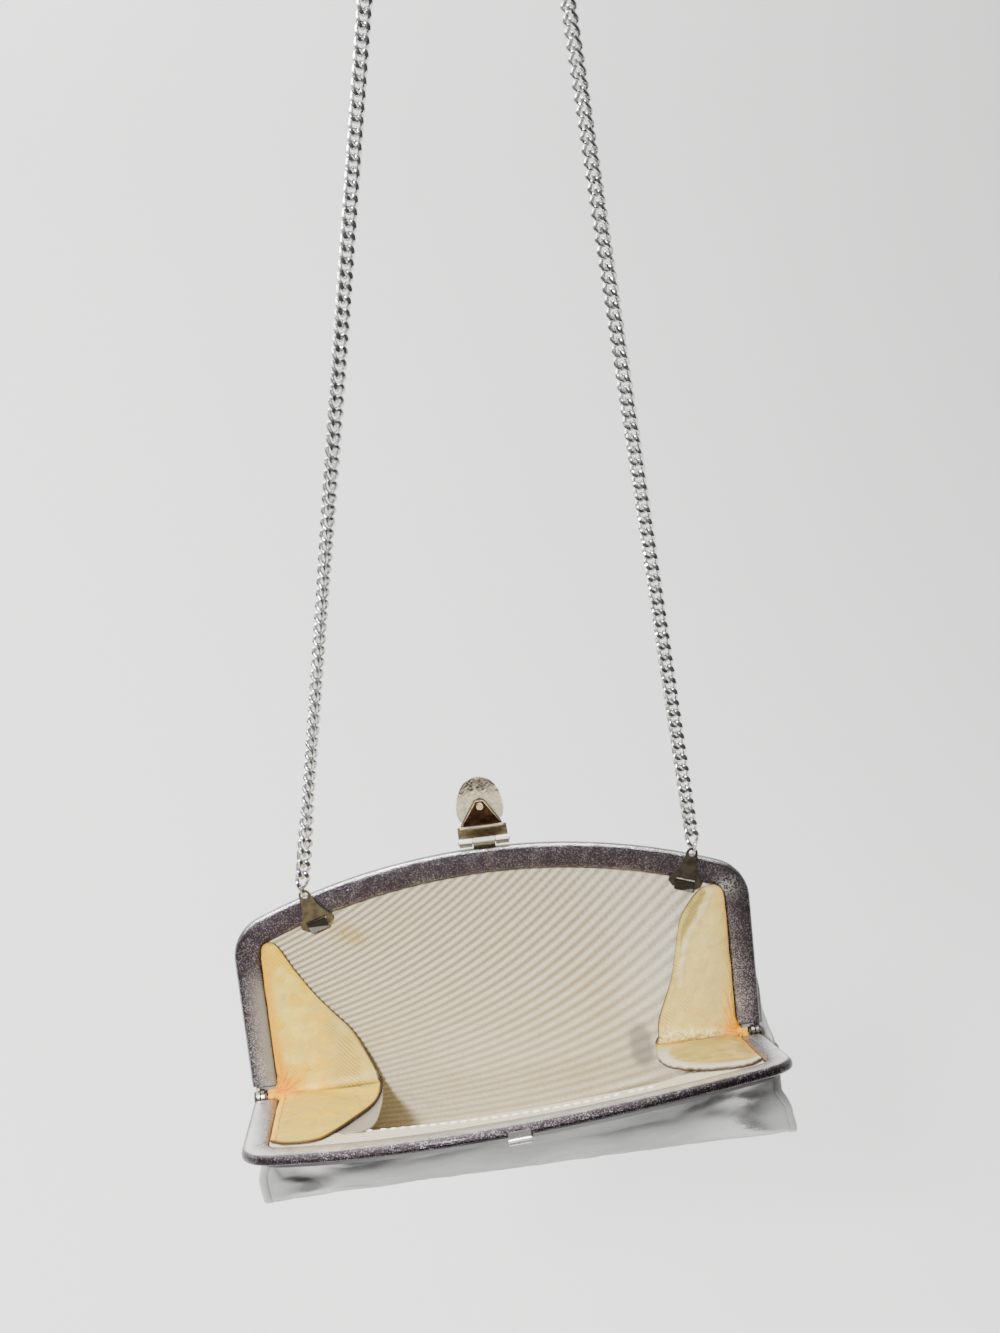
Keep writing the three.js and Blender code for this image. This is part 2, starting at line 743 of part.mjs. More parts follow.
function hangers() {
  const edge = ARCH_RADIUS - RAIL_WIDTH;
  return HANGERS.map(({ side, x }) => {
    const lean = Math.asin(x / ARCH_RADIUS);
    const hanger = new THREE.Group();
    hanger.rotation.y = lean;
    hanger.position.set(edge * Math.sin(lean), PARTING - GAP, ARCH_CENTRE.y + edge * Math.cos(lean));
    const ring = mesh(`chain_ring_${side}`, new THREE.TorusGeometry(RING_RADIUS, RING_WIRE, 6, 14), nickel);
    ring.rotation.y = Math.PI / 2;
    ring.position.set(0, -HANGER_THICK / 2, HANGER_HOLE.z + RING_RADIUS);
    hanger.add(
      mesh(`hanger_${side}`, hangerPlate(), nickel),
      mesh(`hanger_strap_${side}`, hangerStrap(), nickel),
      ring,
    );
    return hanger;
  });
}

// The chain's route: straight up from each ring to one round bend over the hook.
class ChainRoute extends THREE.Curve {
  constructor(left, right, meets) {
    super();
    const up = [left, right].map((ring) => meets.clone().sub(ring).normalize());
    const halfAngle = up[0].angleTo(up[1]) / 2;
    this.axis = up[0].clone().add(up[1]).normalize();
    this.side = new THREE.Vector3(this.axis.z, 0, -this.axis.x);
    this.centre = meets.clone().addScaledVector(this.axis, -HOOK_BEND / Math.sin(halfAngle));
    this.turn = Math.PI / 2 - halfAngle;
    const clear = RING_RADIUS + RING_WIRE + GAP;
    this.from = left.clone().addScaledVector(up[0], clear);
    this.to = right.clone().addScaledVector(up[1], clear);
  }

  onBend(angle) {
    return this.centre
      .clone()
      .addScaledVector(this.axis, HOOK_BEND * Math.cos(angle))
      .addScaledVector(this.side, HOOK_BEND * Math.sin(angle));
  }

  // The bend takes the middle steps and each leg takes the rest.
  getPoint(t) {
    const LEG_SHARE = 0.42;
    if (t <= LEG_SHARE) return this.from.clone().lerp(this.onBend(-this.turn), t / LEG_SHARE);
    if (t >= 1 - LEG_SHARE) return this.to.clone().lerp(this.onBend(this.turn), (1 - t) / LEG_SHARE);
    return this.onBend(lerp(-this.turn, this.turn, (t - LEG_SHARE) / (1 - 2 * LEG_SHARE)));
  }

  getUtoTmapping(u) {
    return u;
  }
}

const chainRoute = (() => {
  const reach = ARCH_RADIUS - RAIL_WIDTH + HANGER_HOLE.z + RING_RADIUS;
  const y = PARTING - GAP - HANGER_THICK / 2;
  const [left, right] = HANGERS.map(({ x }) => {
    const lean = Math.asin(x / ARCH_RADIUS);
    return new THREE.Vector3(reach * Math.sin(lean), y, ARCH_CENTRE.y + reach * Math.cos(lean));
  });
  return new ChainRoute(left, right, new THREE.Vector3(CHAIN_MEETS.x, y, CHAIN_MEETS.z));
})();

function chain() {
  const STEPS = 76;
  const section = new THREE.Shape(
    steps(CHAIN_SIDES).map((f) =>
      new THREE.Vector2(CHAIN_RADIUS, 0).rotateAround(new THREE.Vector2(), 2 * Math.PI * f),
    ),
  );
  const geometry = new THREE.ExtrudeGeometry(section, { steps: STEPS, extrudePath: chainRoute });
  return mesh("chain", geometry, nickel);
}

// The bag hangs with its weight under the hook, so its own frame leans a little in the chain's plane.
const bag = new THREE.Group();
bag.add(...rails(), ...hinges(), ...pouch(), ...gussets(), clasp(), frontCatch(), ...hangers(), chain());
bag.rotation.y = -Math.atan2(chainRoute.axis.x, chainRoute.axis.z);
const hook = chainRoute.centre.clone().addScaledVector(chainRoute.axis, HOOK_BEND - CHAIN_RADIUS);
bag.position.copy(hook.applyEuler(bag.rotation).negate());

const evening_bag = new THREE.Group();
evening_bag.name = "evening_bag";
evening_bag.add(bag);

export default evening_bag;
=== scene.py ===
"""A framed evening bag in silver leather, standing open as it hangs from its chain."""

import json
import math

import bmesh
import bpy
import numpy as np
from mathutils import Matrix, Vector, noise
from numpy.polynomial.polynomial import polyval2d


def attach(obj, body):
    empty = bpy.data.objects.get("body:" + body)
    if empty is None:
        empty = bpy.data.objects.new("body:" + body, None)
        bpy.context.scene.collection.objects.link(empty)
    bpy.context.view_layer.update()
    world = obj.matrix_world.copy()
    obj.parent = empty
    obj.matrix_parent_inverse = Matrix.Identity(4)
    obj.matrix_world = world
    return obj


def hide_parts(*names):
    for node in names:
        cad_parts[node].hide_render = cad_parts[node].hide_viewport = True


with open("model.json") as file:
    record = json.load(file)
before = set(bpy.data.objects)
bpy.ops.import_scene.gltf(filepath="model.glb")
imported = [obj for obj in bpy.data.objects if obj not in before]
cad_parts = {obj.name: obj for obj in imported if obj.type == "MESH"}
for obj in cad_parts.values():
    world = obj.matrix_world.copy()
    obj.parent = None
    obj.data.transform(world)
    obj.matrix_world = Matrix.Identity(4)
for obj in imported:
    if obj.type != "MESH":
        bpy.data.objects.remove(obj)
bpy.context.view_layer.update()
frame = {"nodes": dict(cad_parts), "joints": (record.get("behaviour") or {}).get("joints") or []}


# The bag's own frame: X along the hinge line of the two rails, Y to the back and Z up from that line.
# Pieces are worked out there in millimetres. The clasp's hinge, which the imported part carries, lies along X
# and gives both the lean of the bag as it hangs and its place under the hook.
MM = 0.001
CLASP_AXIS = np.array([0.0, 2.05, 89.8])

clasp_joint = frame["joints"][0]
BAG_X = np.array(clasp_joint["axis"])
BAG_Y = np.array([0.0, 1.0, 0.0])
BAG_AXES = np.stack([BAG_X, BAG_Y, np.cross(BAG_X, BAG_Y)])
BAG_ORIGIN = np.array(clasp_joint["pos_m"]) - MM * CLASP_AXIS @ BAG_AXES


def in_row(points):
    return BAG_ORIGIN + MM * np.asarray(points, float) @ BAG_AXES


# The rails: two U-shaped steel channels, each covered in one strip of grained silver leather.
# The strip has rolled edges, and the back rail's meets itself in a stitched seam at the top.
# The back rail stands upright, and the front one has swung open and twisted a little.
HINGE_HALF = 98.0
CORNER_HALF = 97.4
CORNER_RISE = 66.3
ARCH_RISE = 87.3
CORNER_RADIUS = 16.8
RAIL_WIDTH = 9.5
RAIL_THICK = 3.6
LEG_FOOT = 4.2
PARTING = 0.25
GAP = 0.3
OPEN_ANGLE = math.radians(76.5)
OPEN_TWIST = math.radians(3.4)

ARCH_RADIUS = (CORNER_HALF**2 + (ARCH_RISE - CORNER_RISE) ** 2) / (2 * (ARCH_RISE - CORNER_RISE))
ARCH_CENTRE = np.array([0.0, ARCH_RISE - ARCH_RADIUS])
LEG = np.array([CORNER_HALF - HINGE_HALF, CORNER_RISE]) / math.hypot(CORNER_HALF - HINGE_HALF, CORNER_RISE)
INWARD = np.array([-LEG[1], LEG[0]])


def corner_centre():
    start = np.array([HINGE_HALF, 0.0]) + CORNER_RADIUS * INWARD
    away = start - ARCH_CENTRE
    along = away @ LEG
    reach = (ARCH_RADIUS - CORNER_RADIUS) ** 2 - away @ away + along**2
    return start + (math.sqrt(reach) - along) * LEG


CORNER = corner_centre()
CORNER_FROM = math.atan2(-INWARD[1], -INWARD[0])
CORNER_TO = math.atan2(*(CORNER - ARCH_CENTRE)[::-1])


def arc(centre, radius, start, end, steps):
    angles = np.linspace(start, end, steps + 1)
    return centre + radius * np.stack([np.cos(angles), np.sin(angles)], 1)


def top_outline(inset, corner_steps, arch_steps):
    """Points round the top of a half-frame, from the right leg to the left, inset from the outer edge."""
    corner = arc(CORNER, CORNER_RADIUS - inset, CORNER_FROM, CORNER_TO, corner_steps)
    arch = arc(ARCH_CENTRE, ARCH_RADIUS - inset, CORNER_TO, math.pi - CORNER_TO, arch_steps)
    return np.concatenate([corner, arch[1:-1], corner[::-1] * [-1, 1]])


def rail_outline(inset, leg_steps, corner_steps, arch_steps):
    foot = np.array([HINGE_HALF, 0.0]) + LEG_FOOT * LEG + inset * INWARD
    top = top_outline(inset, corner_steps, arch_steps)
    leg = np.linspace(foot, top[0], leg_steps + 1)[:-1]
    return np.concatenate([leg, top, leg[::-1] * [-1, 1]])


def swung(points):
    """The front half's points, turned forward about the hinge line; the left leg opens further."""
    x, y, z = np.moveaxis(np.asarray(points, float), -1, 0)
    angle = OPEN_ANGLE - OPEN_TWIST * x / HINGE_HALF
    return np.stack([x, y * np.cos(angle) - z * np.sin(angle), y * np.sin(angle) + z * np.cos(angle)], -1)


def eased(value, low, high):
    share = np.clip((value - low) / (high - low), 0, 1)
    return share * share * (3 - 2 * share)


def peak(value, middle, width):
    """1 at the middle, falling off smoothly to both sides."""
    return np.exp(-(((value - middle) / width) ** 2))


def unit(vectors):
    return vectors / np.linalg.norm(vectors, axis=-1, keepdims=True)


def lengths_along(points, axis=0):
    """Length from the first point to each one, along that axis of a grid of points."""
    steps = np.linalg.norm(np.diff(points, axis=axis), axis=-1)
    return np.insert(np.cumsum(steps, axis=axis), 0, 0, axis=axis)


def full_turn(steps):
    return np.linspace(0, 2 * math.pi, steps, endpoint=False)


class Signal:
    """A node's output socket. Signals and numbers add, subtract and multiply into Math nodes."""

    def __init__(self, nodes, socket):
        self.nodes = nodes
        self.socket = socket

    def math(self, operation, *values):
        return self.nodes.node("Math", {"operation": operation}, dict(enumerate(values)))

    def __add__(self, other):
        return self.math("ADD", self, other)

    def __sub__(self, other):
        return self.math("SUBTRACT", self, other)

    def __rsub__(self, other):
        return self.math("SUBTRACT", other, self)

    def __mul__(self, other):
        return self.math("MULTIPLY", self, other)

    __radd__ = __add__
    __rmul__ = __mul__

    def rising(self, low, high):
        """0 below low, 1 above high, and a smooth step between them."""
        settings = {"interpolation_type": "SMOOTHSTEP"}
        return self.nodes.node("MapRange", settings, {"Value": self, "From Min": low, "From Max": high})


class Nodes:
    """A node tree. node() adds a shader node of any kind with its settings and its sockets' values."""

    def __init__(self, tree):
        self.tree = tree

    def node(self, kind, settings, inputs, output=0):
        made = self.tree.nodes.new("ShaderNode" + kind)
        for name, value in settings.items():
            setattr(made, name, value)
        for socket, value in inputs.items():
            self.feed(made.inputs[socket], value)
        return Signal(self, made.outputs[output])

    def feed(self, socket, value):
        if isinstance(value, Signal):
            self.tree.links.new(value.socket, socket)
        else:
            socket.default_value = value

    def layers(self, colour, *coats):
        """A colour under coats of others, each given by its share and its colour."""
        colour = (*colour, 1.0)
        for share, coat in coats:
            colour = self.node("Mix", {"data_type": "RGBA"}, {0: share, 6: colour, 7: (*coat, 1.0)}, 2)
        return colour

    def dot(self, vector, direction):
        return self.node("VectorMath", {"operation": "DOT_PRODUCT"}, {0: vector, 1: direction}, "Value")


class Finish(Nodes):
    """A surface finish: one material, whose shader takes constants at once and changing values by set()."""

    def __init__(self, name, constants):
        self.material = bpy.data.materials.new(name)
        self.material.use_nodes = True
        super().__init__(self.material.node_tree)
        self.shader = self.tree.nodes["Principled BSDF"]
        self.set(constants)

    def set(self, values):
        for socket, value in values.items():
            self.feed(self.shader.inputs[socket], value)

    def place(self):
        """Position in the piece's own space, in millimetres."""
        metres = self.node("TexCoord", {}, {}, "Object")
        return self.node("VectorMath", {"operation": "SCALE"}, {0: metres, "Scale": 1 / MM})

    def along(self, direction):
        return self.dot(self.place(), direction)

    def attributes(self, *names):
        """Numbers that note() has stored on the piece."""
        return [self.node("Attribute", {"attribute_name": name}, {}, "Fac") for name in names]

    def mottle(self, size, detail=2.0):
        """Soft noise with spots of that size in millimetres."""
        return self.node("TexNoise", {}, {"Vector": self.place(), "Scale": 1 / size, "Detail": detail})

    def cells(self, size, output="Distance"):
        return self.node("TexVoronoi", {}, {"Vector": self.place(), "Scale": 1 / size}, output)

    def relief(self, height, depth, under=None):
        """A bump of that depth in millimetres, on top of another one."""
        inputs = {"Height": height, "Distance": depth * MM}
        if under:
            inputs["Normal"] = under
        return self.node("Bump", {}, inputs)


def placed(name, data):
    made = bpy.data.objects.new(name, data)
    bpy.context.scene.collection.objects.link(made)
    return made


def solid(name, points, faces, finish, slot, body="bag", stands_for=(), sharp=40):
    """A piece made from points in the bag's frame, riding on a body; it can stand for CAD nodes."""
    mesh = bpy.data.meshes.new(name)
    mesh.from_pydata(in_row(points).tolist(), [], faces)
    shell = bmesh.new()
    shell.from_mesh(mesh)
    bmesh.ops.recalc_face_normals(shell, faces=shell.faces)
    shell.to_mesh(mesh)
    shell.free()
    mesh.shade_smooth()
    mesh.set_sharp_from_angle(angle=math.radians(sharp))
    mesh.materials.append(finish.material)
    made = placed(name, mesh)
    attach(made, body)
    if stands_for:
        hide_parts(*stands_for)
    return made


def note(piece, **values):
    """Stores numbers for a piece's points, for its finish to read. Both sides of a wall share one grid's."""
    for name, numbers in values.items():
        attribute = piece.data.attributes.new(name, "FLOAT", "POINT")
        attribute.data.foreach_set("value", np.resize(np.float32(numbers), len(piece.data.vertices)))


def band_faces(rows, columns, close_rows=False, close_columns=False, first=0):
    """Quads between neighbours of a grid of points stored row by row."""
    i, j = np.mgrid[0 : rows - 1 + close_rows, 0 : columns - 1 + close_columns]
    after, beside = (i + 1) % rows, (j + 1) % columns
    corners = [i * columns + j, i * columns + beside, after * columns + beside, after * columns + j]
    return (first + np.stack(corners, -1).reshape(-1, 4)).tolist()


def tube_faces(rings, around, first=0):
    """Quads round a tube whose rings of points follow each other, and one face at each end."""
    ends = [[start + i for i in range(around)] for start in (first, first + (rings - 1) * around)]
    return band_faces(rings, around, close_columns=True, first=first) + ends


def rounded(corners, radii, arc_steps):
    """A closed outline in the plane with rounded corners; corners run round it in order."""
    points = []
    for i, (corner, radius) in enumerate(zip(corners, radii)):
        before = np.subtract(corners[i - 1], corner)
        after = np.subtract(corners[(i + 1) % len(corners)], corner)
        start = corner + radius * before / np.hypot(*before)
        end = corner + radius * after / np.hypot(*after)
        for t in np.linspace(0, 1, arc_steps + 1):
            points.append((1 - t) ** 2 * start + 2 * t * (1 - t) * np.asarray(corner) + t**2 * end)
    return np.array(points)


def rail_finish():
    MAUVE = (0.095, 0.072, 0.095)
    GREY = (0.27, 0.25, 0.275)
    GLINT = (0.95, 0.93, 0.91)
    STRIP = (0.26, 0.235, 0.185)
    DARK_SIDE = (0.030, 0.021, 0.024)
    SEAM = (0.012, 0.009, 0.007)
    THREAD = (0.17, 0.12, 0.08)
    made = Finish("grained silver rail leather", {"Coat Roughness": 0.15})
    grain = made.cells(0.34)
    wear = made.mottle(6.0, 4.0)
    worn, edge, strip = made.attributes("worn", "rolled_edge", "bare_strip")
    dark_side, flecked, from_seam = made.attributes("dark_side", "flecked", "from_seam")
    seam = 1 - from_seam.rising(0.15, 0.4)
    thread = (1 - from_seam.rising(0.5, 1.0)) * made.mottle(0.9).rising(0.48, 0.56)
    glint = made.cells(0.34, "Color").rising(0.62 - 0.15 * worn, 0.8)
    sparkle = 0.2 - 0.12 * dark_side + 0.12 * wear.rising(0.35, 0.65) + 0.6 * worn
    colour = made.layers(
        MAUVE,
        # Paler silver at random, towards the back rail's feet, and as a painted highlight at the front rail's
        # corners.
        (wear.rising(0.4, 0.75) * 0.3 + worn * 0.6, GREY),
        # Painted shade on the rail's outer side.
        (dark_side * 0.9, DARK_SIDE),
        (glint * sparkle, GLINT),
        # Painted highlight along the rail's edge.
        (edge * (0.6 + 0.4 * wear.rising(0.3, 0.6)), GLINT),
        (flecked * made.mottle(0.8, 3.0).rising(0.46, 0.52), GLINT),
        (strip, STRIP),
        (seam, SEAM),
        (thread, THREAD),
    )
    crumple = made.relief(made.mottle(2.2, 3.0), 0.16)
    made.set(
        {
            "Base Color": colour,
            "Metallic": 0.9 - 0.7 * strip - 0.9 * thread,
            "Roughness": 0.3 - 0.1 * edge + 0.35 * strip,
            "Coat Weight": 0.3 * wear,
            "Normal": made.relief(grain - seam, 0.11, crumple),
        }
    )
    return made


RAIL_LEATHER = rail_finish()
SEAM_X = 0.9


def rail(name, node, face_towards, place, wear, edge_at, outer_roll, has_seam):
    """A rail swept along its outline, with a painted highlight along it. face_towards is +1 for the back rail
    and -1 for the front one.
    """
    LEG_STEPS = 26
    CORNER_STEPS = 22
    ARCH_STEPS = 140
    ROLL = 1.1
    INNER_ROLL = 1.5
    ROLL_STEPS = 6
    FACE_DEPTHS = (0.3, 1.2)
    EDGE_BRIGHT, EDGE_FADES = 0.4, 0.5
    FAR = 40.0
    FLECKS_X, FLECKS_Z, FLECKS_SIZE = 88.5, 61.0, 3.6
    corners = [(0, 0), (RAIL_WIDTH, 0), (RAIL_WIDTH, RAIL_THICK), (0, RAIL_THICK)]
    section = rounded(corners, [outer_roll, INNER_ROLL, ROLL, ROLL], ROLL_STEPS)
    rings = []
    for inset, depth in section:
        line = rail_outline(inset, LEG_STEPS, CORNER_STEPS, ARCH_STEPS)
        y = np.full(len(line), face_towards * (PARTING + depth))
        rings.append(np.stack([line[:, 0], y, line[:, 1]], 1))
    rings = np.stack(rings)
    sides, stations = rings.shape[:2]
    faces = band_faces(sides, stations, close_rows=True)
    faces.append([i * stations for i in range(sides)])
    faces.append([i * stations + stations - 1 for i in range(sides)])
    made = solid(name, place(rings.reshape(-1, 3)), faces, RAIL_LEATHER, "rail_leather", stands_for=[node])
    x, z = rings[..., 0], rings[..., 2]
    inset, depth = section[:, :1], section[:, 1:]
    face = 1 - eased(depth, *FACE_DEPTHS)
    # The painted highlight runs at a given inset in from the rail's outer edge.
    from_edge = np.hypot(inset - edge_at, depth)
    bright = 1 - eased(from_edge, EDGE_BRIGHT, EDGE_FADES + outer_roll / 3)
    # dark is the painted shade on the rail's outer side.
    worn, bare, dark = wear(rings, inset)
    note(
        made,
        rolled_edge=bright * (1 - dark * (edge_at == 0)),
        worn=worn * face * (1 - dark),
        dark_side=dark,
        flecked=has_seam * peak(x, FLECKS_X, FLECKS_SIZE) * peak(z, FLECKS_Z, FLECKS_SIZE),
        bare_strip=bare * face,
        from_seam=np.where(has_seam & (z > CORNER_RISE), np.abs(x - SEAM_X), FAR),
    )


def back_wear(points, inset):
    """How much paler silver, bare strip and painted shade the back rail's leather has at each point."""
    WORN_HEIGHTS, WORN_LEFT, WORN_RIGHT = (10, 58), 1.0, 0.8
    BARE_X, BARE_HEIGHTS, BARE_INSETS = (80, 86), (38, 56), (4.0, 8.0)
    DARK, DARK_X, DARK_FROM, DARK_LEFT, DARK_RIGHT = 0.75, (84, 93), 0.6, 2.2, 3.8
    x, z = points[..., 0], points[..., 2]
    worn = (1 - eased(z, *WORN_HEIGHTS)) * np.where(x < 0, WORN_LEFT, WORN_RIGHT)
    bare = eased(-x, *BARE_X) * (1 - eased(z, *BARE_HEIGHTS)) * eased(inset, *BARE_INSETS)
    side = 1 - eased(inset, DARK_FROM, np.where(x < 0, DARK_LEFT, DARK_RIGHT))
    return worn, bare, DARK * eased(np.abs(x), *DARK_X) * side


def front_wear(points, inset):
    """The same three amounts for the front rail, whose paler silver at the corners is a painted highlight."""
    WORN_X, WORN_LEFT, WORN_RIGHT = (76, 92), 1.0, 0.6
    BARE, BARE_X, BARE_INSETS = 0.75, (70, 88), (2.6, 4.2)
    DARK_INSETS = (1.3, 2.4)
    x = points[..., 0]
    worn = eased(np.abs(x), *WORN_X) * np.where(x < 0, WORN_LEFT, WORN_RIGHT)
    bare = BARE * (1 - eased(np.abs(x), *BARE_X)) * eased(inset, *BARE_INSETS)
    return worn, bare, 1 - eased(np.broadcast_to(inset, x.shape), *DARK_INSETS)


rail(
    name="back_rail_leather",
    node="back_frame_rail",
    face_towards=1,
    place=np.asarray,
    wear=back_wear,
    edge_at=0,
    outer_roll=1.3,
    has_seam=True,
)
rail(
    name="front_rail_leather",
    node="front_frame_rail",
    face_towards=-1,
    place=swung,
    wear=front_wear,
    edge_at=2.4,
    outer_roll=2.4,
    has_seam=False,
)


# The hinges: pressed steel ears on the rails' feet, riveted together at each side and nickel plated.
# The plating has tarnished in cloudy patches.
def soften(node, finish, width):
    """Rounds a CAD node's edges and gives it a finish."""
    SEGMENTS = 3
    ROUNDED_FROM, SHARP_FROM = math.radians(35), math.radians(50)
    made = frame["nodes"][node]
    made.data.materials.clear()
    made.data.materials.append(finish.material)
    bevel = made.modifiers.new("rounded edges", "BEVEL")
    bevel.width = width * MM
    bevel.segments = SEGMENTS
    bevel.limit_method = "ANGLE"
    bevel.angle_limit = ROUNDED_FROM
    made.data.shade_smooth()
    made.data.set_sharp_from_angle(angle=SHARP_FROM)


def aged_nickel_finish():
    NICKEL = (0.32, 0.29, 0.25)
    TARNISH = (0.08, 0.06, 0.04)
    made = Finish("aged nickel", {"Metallic": 1.0})
    cloud = made.mottle(3.0, 5.0)
    speck = made.mottle(0.5, 3.0)
    tarnish = (cloud * 0.7 + speck * 0.3).rising(0.38, 0.66)
    made.set(
        {
            "Base Color": made.layers(NICKEL, (tarnish, TARNISH)),
            "Roughness": 0.2 + 0.22 * tarnish,
            "Normal": made.relief(speck, 0.02),
        }
    )
    return made


AGED_NICKEL = aged_nickel_finish()
for side in ("left", "right"):
    for node in ("hinge_ear_back", "hinge_ear_front", "hinge_rivet"):
        soften(f"{node}_{side}", AGED_NICKEL, 0.2)


# The leather body: one panel of smooth silver leather, tucked behind both rails and folded at the bottom.
# It hangs straight down the back and is drawn up to the open front rail, so it falls into soft folds.
LEATHER = 1.2
LEATHER_POUCH = {
    "inset": 1.2,
    "offset": PARTING + RAIL_THICK + GAP + LEATHER / 2,
    "depth": 43.0,
    "seam": 1.2,
    "belly": 6.5,
    "leaves_rail": 11.0,
    "softness": 22.0,
    "front_taper": 0.045,
    "corner_steps": 18,
    "arch_steps": 130,
    "rows": {"upper": 44, "lower": 24, "fold": 8},
    "spread": {
        "heights": [36, 12, -8, -24, -34, -43],
        "left": [0, 0.2, 0.6, 0.8, 3.2, 2.6],
        "right": [0, 3, 6.6, 6.4, 10.4, 11.4],
    },
    "folds": [
        {"x": -80, "lean": 0.5, "width": 8, "depth": -2.0},
        {"x": -56, "lean": 0.35, "width": 9, "depth": 1.6},
        {"x": -14, "lean": 0.1, "width": 12, "depth": -1.2},
        {"x": 34, "lean": -0.2, "width": 12, "depth": 1.0},
        {"x": 76, "lean": -0.45, "width": 9, "depth": -1.6},
    ],
}
NECK = 14.0
TAPER_FROM, TAPER_TO = 4.0, 30.0
HUG_FROM, HUG_TO = 0.55, 0.98
FOLDS_END = 0.75
FOLDS_PUSH = np.array([0, 0.6, 0.8])


def spread_at(spread, height, side):
    """How far that side stands out beyond its leg, eased from each listed height to the next."""
    rows = list(zip(spread["heights"], spread[side]))
    out = np.full(np.shape(height), float(rows[0][1]))
    for (above, out_above), (below, out_below) in zip(rows, rows[1:]):
        within = out_below + (out_above - out_below) * eased(height, below, above)
        out = np.where(height < above, within, out)
    return out


def pouch_column(pouch, top, leg_half):
    """One strip of the pouch's wall, from the back rail down, round the bottom and up to the front rail."""
    offset, depth, rows = pouch["offset"], pouch["depth"], pouch["rows"]
    across = top[0] / leg_half
    plump = pouch["seam"] + (pouch["belly"] - pouch["seam"]) * math.sqrt(max(0, 1 - across**2))

    def x_at(height):
        return across * (leg_half + spread_at(pouch["spread"], height, "left" if across < 0 else "right"))

    def half(height):
        into = np.maximum(0, -height - (depth - plump)) / plump
        body = offset + (plump - offset) * eased(-height, 0, NECK)
        return body * np.sqrt(np.maximum(0, 1 - into**2))

    angle = OPEN_ANGLE - OPEN_TWIST * top[0] / HINGE_HALF
    cut = offset * math.tan(angle / 2)
    lower = depth - cut
    length = lower + top[1] - cut
    leave = max(top[1] - pouch["leaves_rail"], cut + 1)
    bend = length - (top[1] - leave)

    def on_front(height, widest):
        x = x_at(widest) * (1 - pouch["front_taper"] * eased(widest, TAPER_FROM, TAPER_TO))
        return swung(np.stack([x, np.full(np.shape(height), -offset), height], -1))

    def hugging(up):
        below = np.stack([x_at(up - depth), -half(up - depth), up - depth], -1)
        rise = up - lower + cut
        return np.where((up <= lower)[:, None], below, on_front(rise, rise))

    def hanging(up):
        bottom = np.array([x_at(np.array(-depth)), 0.0, -depth])
        heights = np.array([leave - pouch["softness"], leave])
        in_plane, end = on_front(heights, np.full(2, leave))
        t = np.clip(up / bend, 0, 1)[:, None]
        curve = (1 - t) ** 2 * bottom + 2 * t * (1 - t) * in_plane + t**2 * end
        return np.where((up >= bend)[:, None], hugging(up), curve)

    up_heights = np.linspace(0, 1, rows["upper"] + 1)
    low_heights = np.linspace(0, 1, rows["lower"] + 1)
    drops = plump * np.sin(np.linspace(0, math.pi / 2, rows["fold"] + 1))
    standing = top[1] * (1 - up_heights)
    upper = np.stack([x_at(standing), np.full(len(standing), offset), standing], 1)
    down = np.concatenate([(plump - depth) * low_heights[1:], plump - depth - drops[1:]])
    back = np.stack([x_at(down), half(down), down], 1)
    up = np.concatenate([plump - drops[-2::-1], plump + (lower - plump) * low_heights[1:]])
    up = np.concatenate([up, lower + (length - lower) * up_heights[1:]])
    hug = float(eased(abs(across), HUG_FROM, HUG_TO))
    front = hanging(up) * (1 - hug) + hugging(up) * hug
    swell = np.sin(math.pi * np.minimum(1, up / length / FOLDS_END)) ** 2 * (1 - hug)
    for fold in pouch["folds"]:
        middle = fold["x"] + fold["lean"] * (up - depth)
        push = fold["depth"] * swell * peak(front[:, 0], middle, fold["width"])
        front = front - push[:, None] * FOLDS_PUSH
    return np.concatenate([upper, back, front])


def pouch_grid(pouch):
    tops = top_outline(pouch["inset"], pouch["corner_steps"], pouch["arch_steps"])
    return np.stack([pouch_column(pouch, top, tops[0, 0]) for top in tops])


def facing(grid):
    """Unit normals of a grid of points, one for each."""
    return unit(np.cross(np.gradient(grid, axis=0), np.gradient(grid, axis=1)))


def outward(grid):
    """Unit normals of a pouch, which point to the back on its back wall."""
    BACK_ROW = 5
    normal = facing(grid)
    return normal * np.sign(normal[len(grid) // 2, BACK_ROW, 1])


def walled(grid, normal, over, under):
    """Points and faces of a closed wall that stands over and under a grid of points, along its normals."""
    rows, columns = grid.shape[:2]
    points = np.concatenate([grid + normal * over, grid - normal * under]).reshape(-1, 3)
    count = rows * columns
    faces = band_faces(rows, columns) + band_faces(rows, columns, first=count)
    edge = [*range(columns), *range(2 * columns - 1, count, columns)]
    edge += [*range(count - 2, count - columns - 1, -1), *range(count - 2 * columns, 0, -columns)]
    for a, b in zip(edge, edge[1:] + edge[:1]):
        faces.append([a, b, b + count, a + count])
    return points, faces


def crumpled(points, size, seed):
    """Smooth noise at each point, with bumps of that size in millimetres."""
    shift = Vector((seed, 2 * seed, 3 * seed))
    flat = points.reshape(-1, 3) / size
    return np.array([noise.noise(Vector(p) + shift) for p in flat]).reshape(points.shape[:-1])


def near_line(points, line):
    """1 on a line from its start to its end, falling off smoothly to its sides and towards its ends."""
    TAPER_SHARES = (-0.15, 0.4)
    start = np.array(line["start"])
    run = np.array(line["end"]) - start
    share = np.clip((points - start) @ run / (run @ run), 0, 1)
    away = np.linalg.norm(points - start - share[..., None] * run, axis=-1)
    return eased(np.minimum(share, 1 - share), *TAPER_SHARES) * peak(away, 0, line["width"])


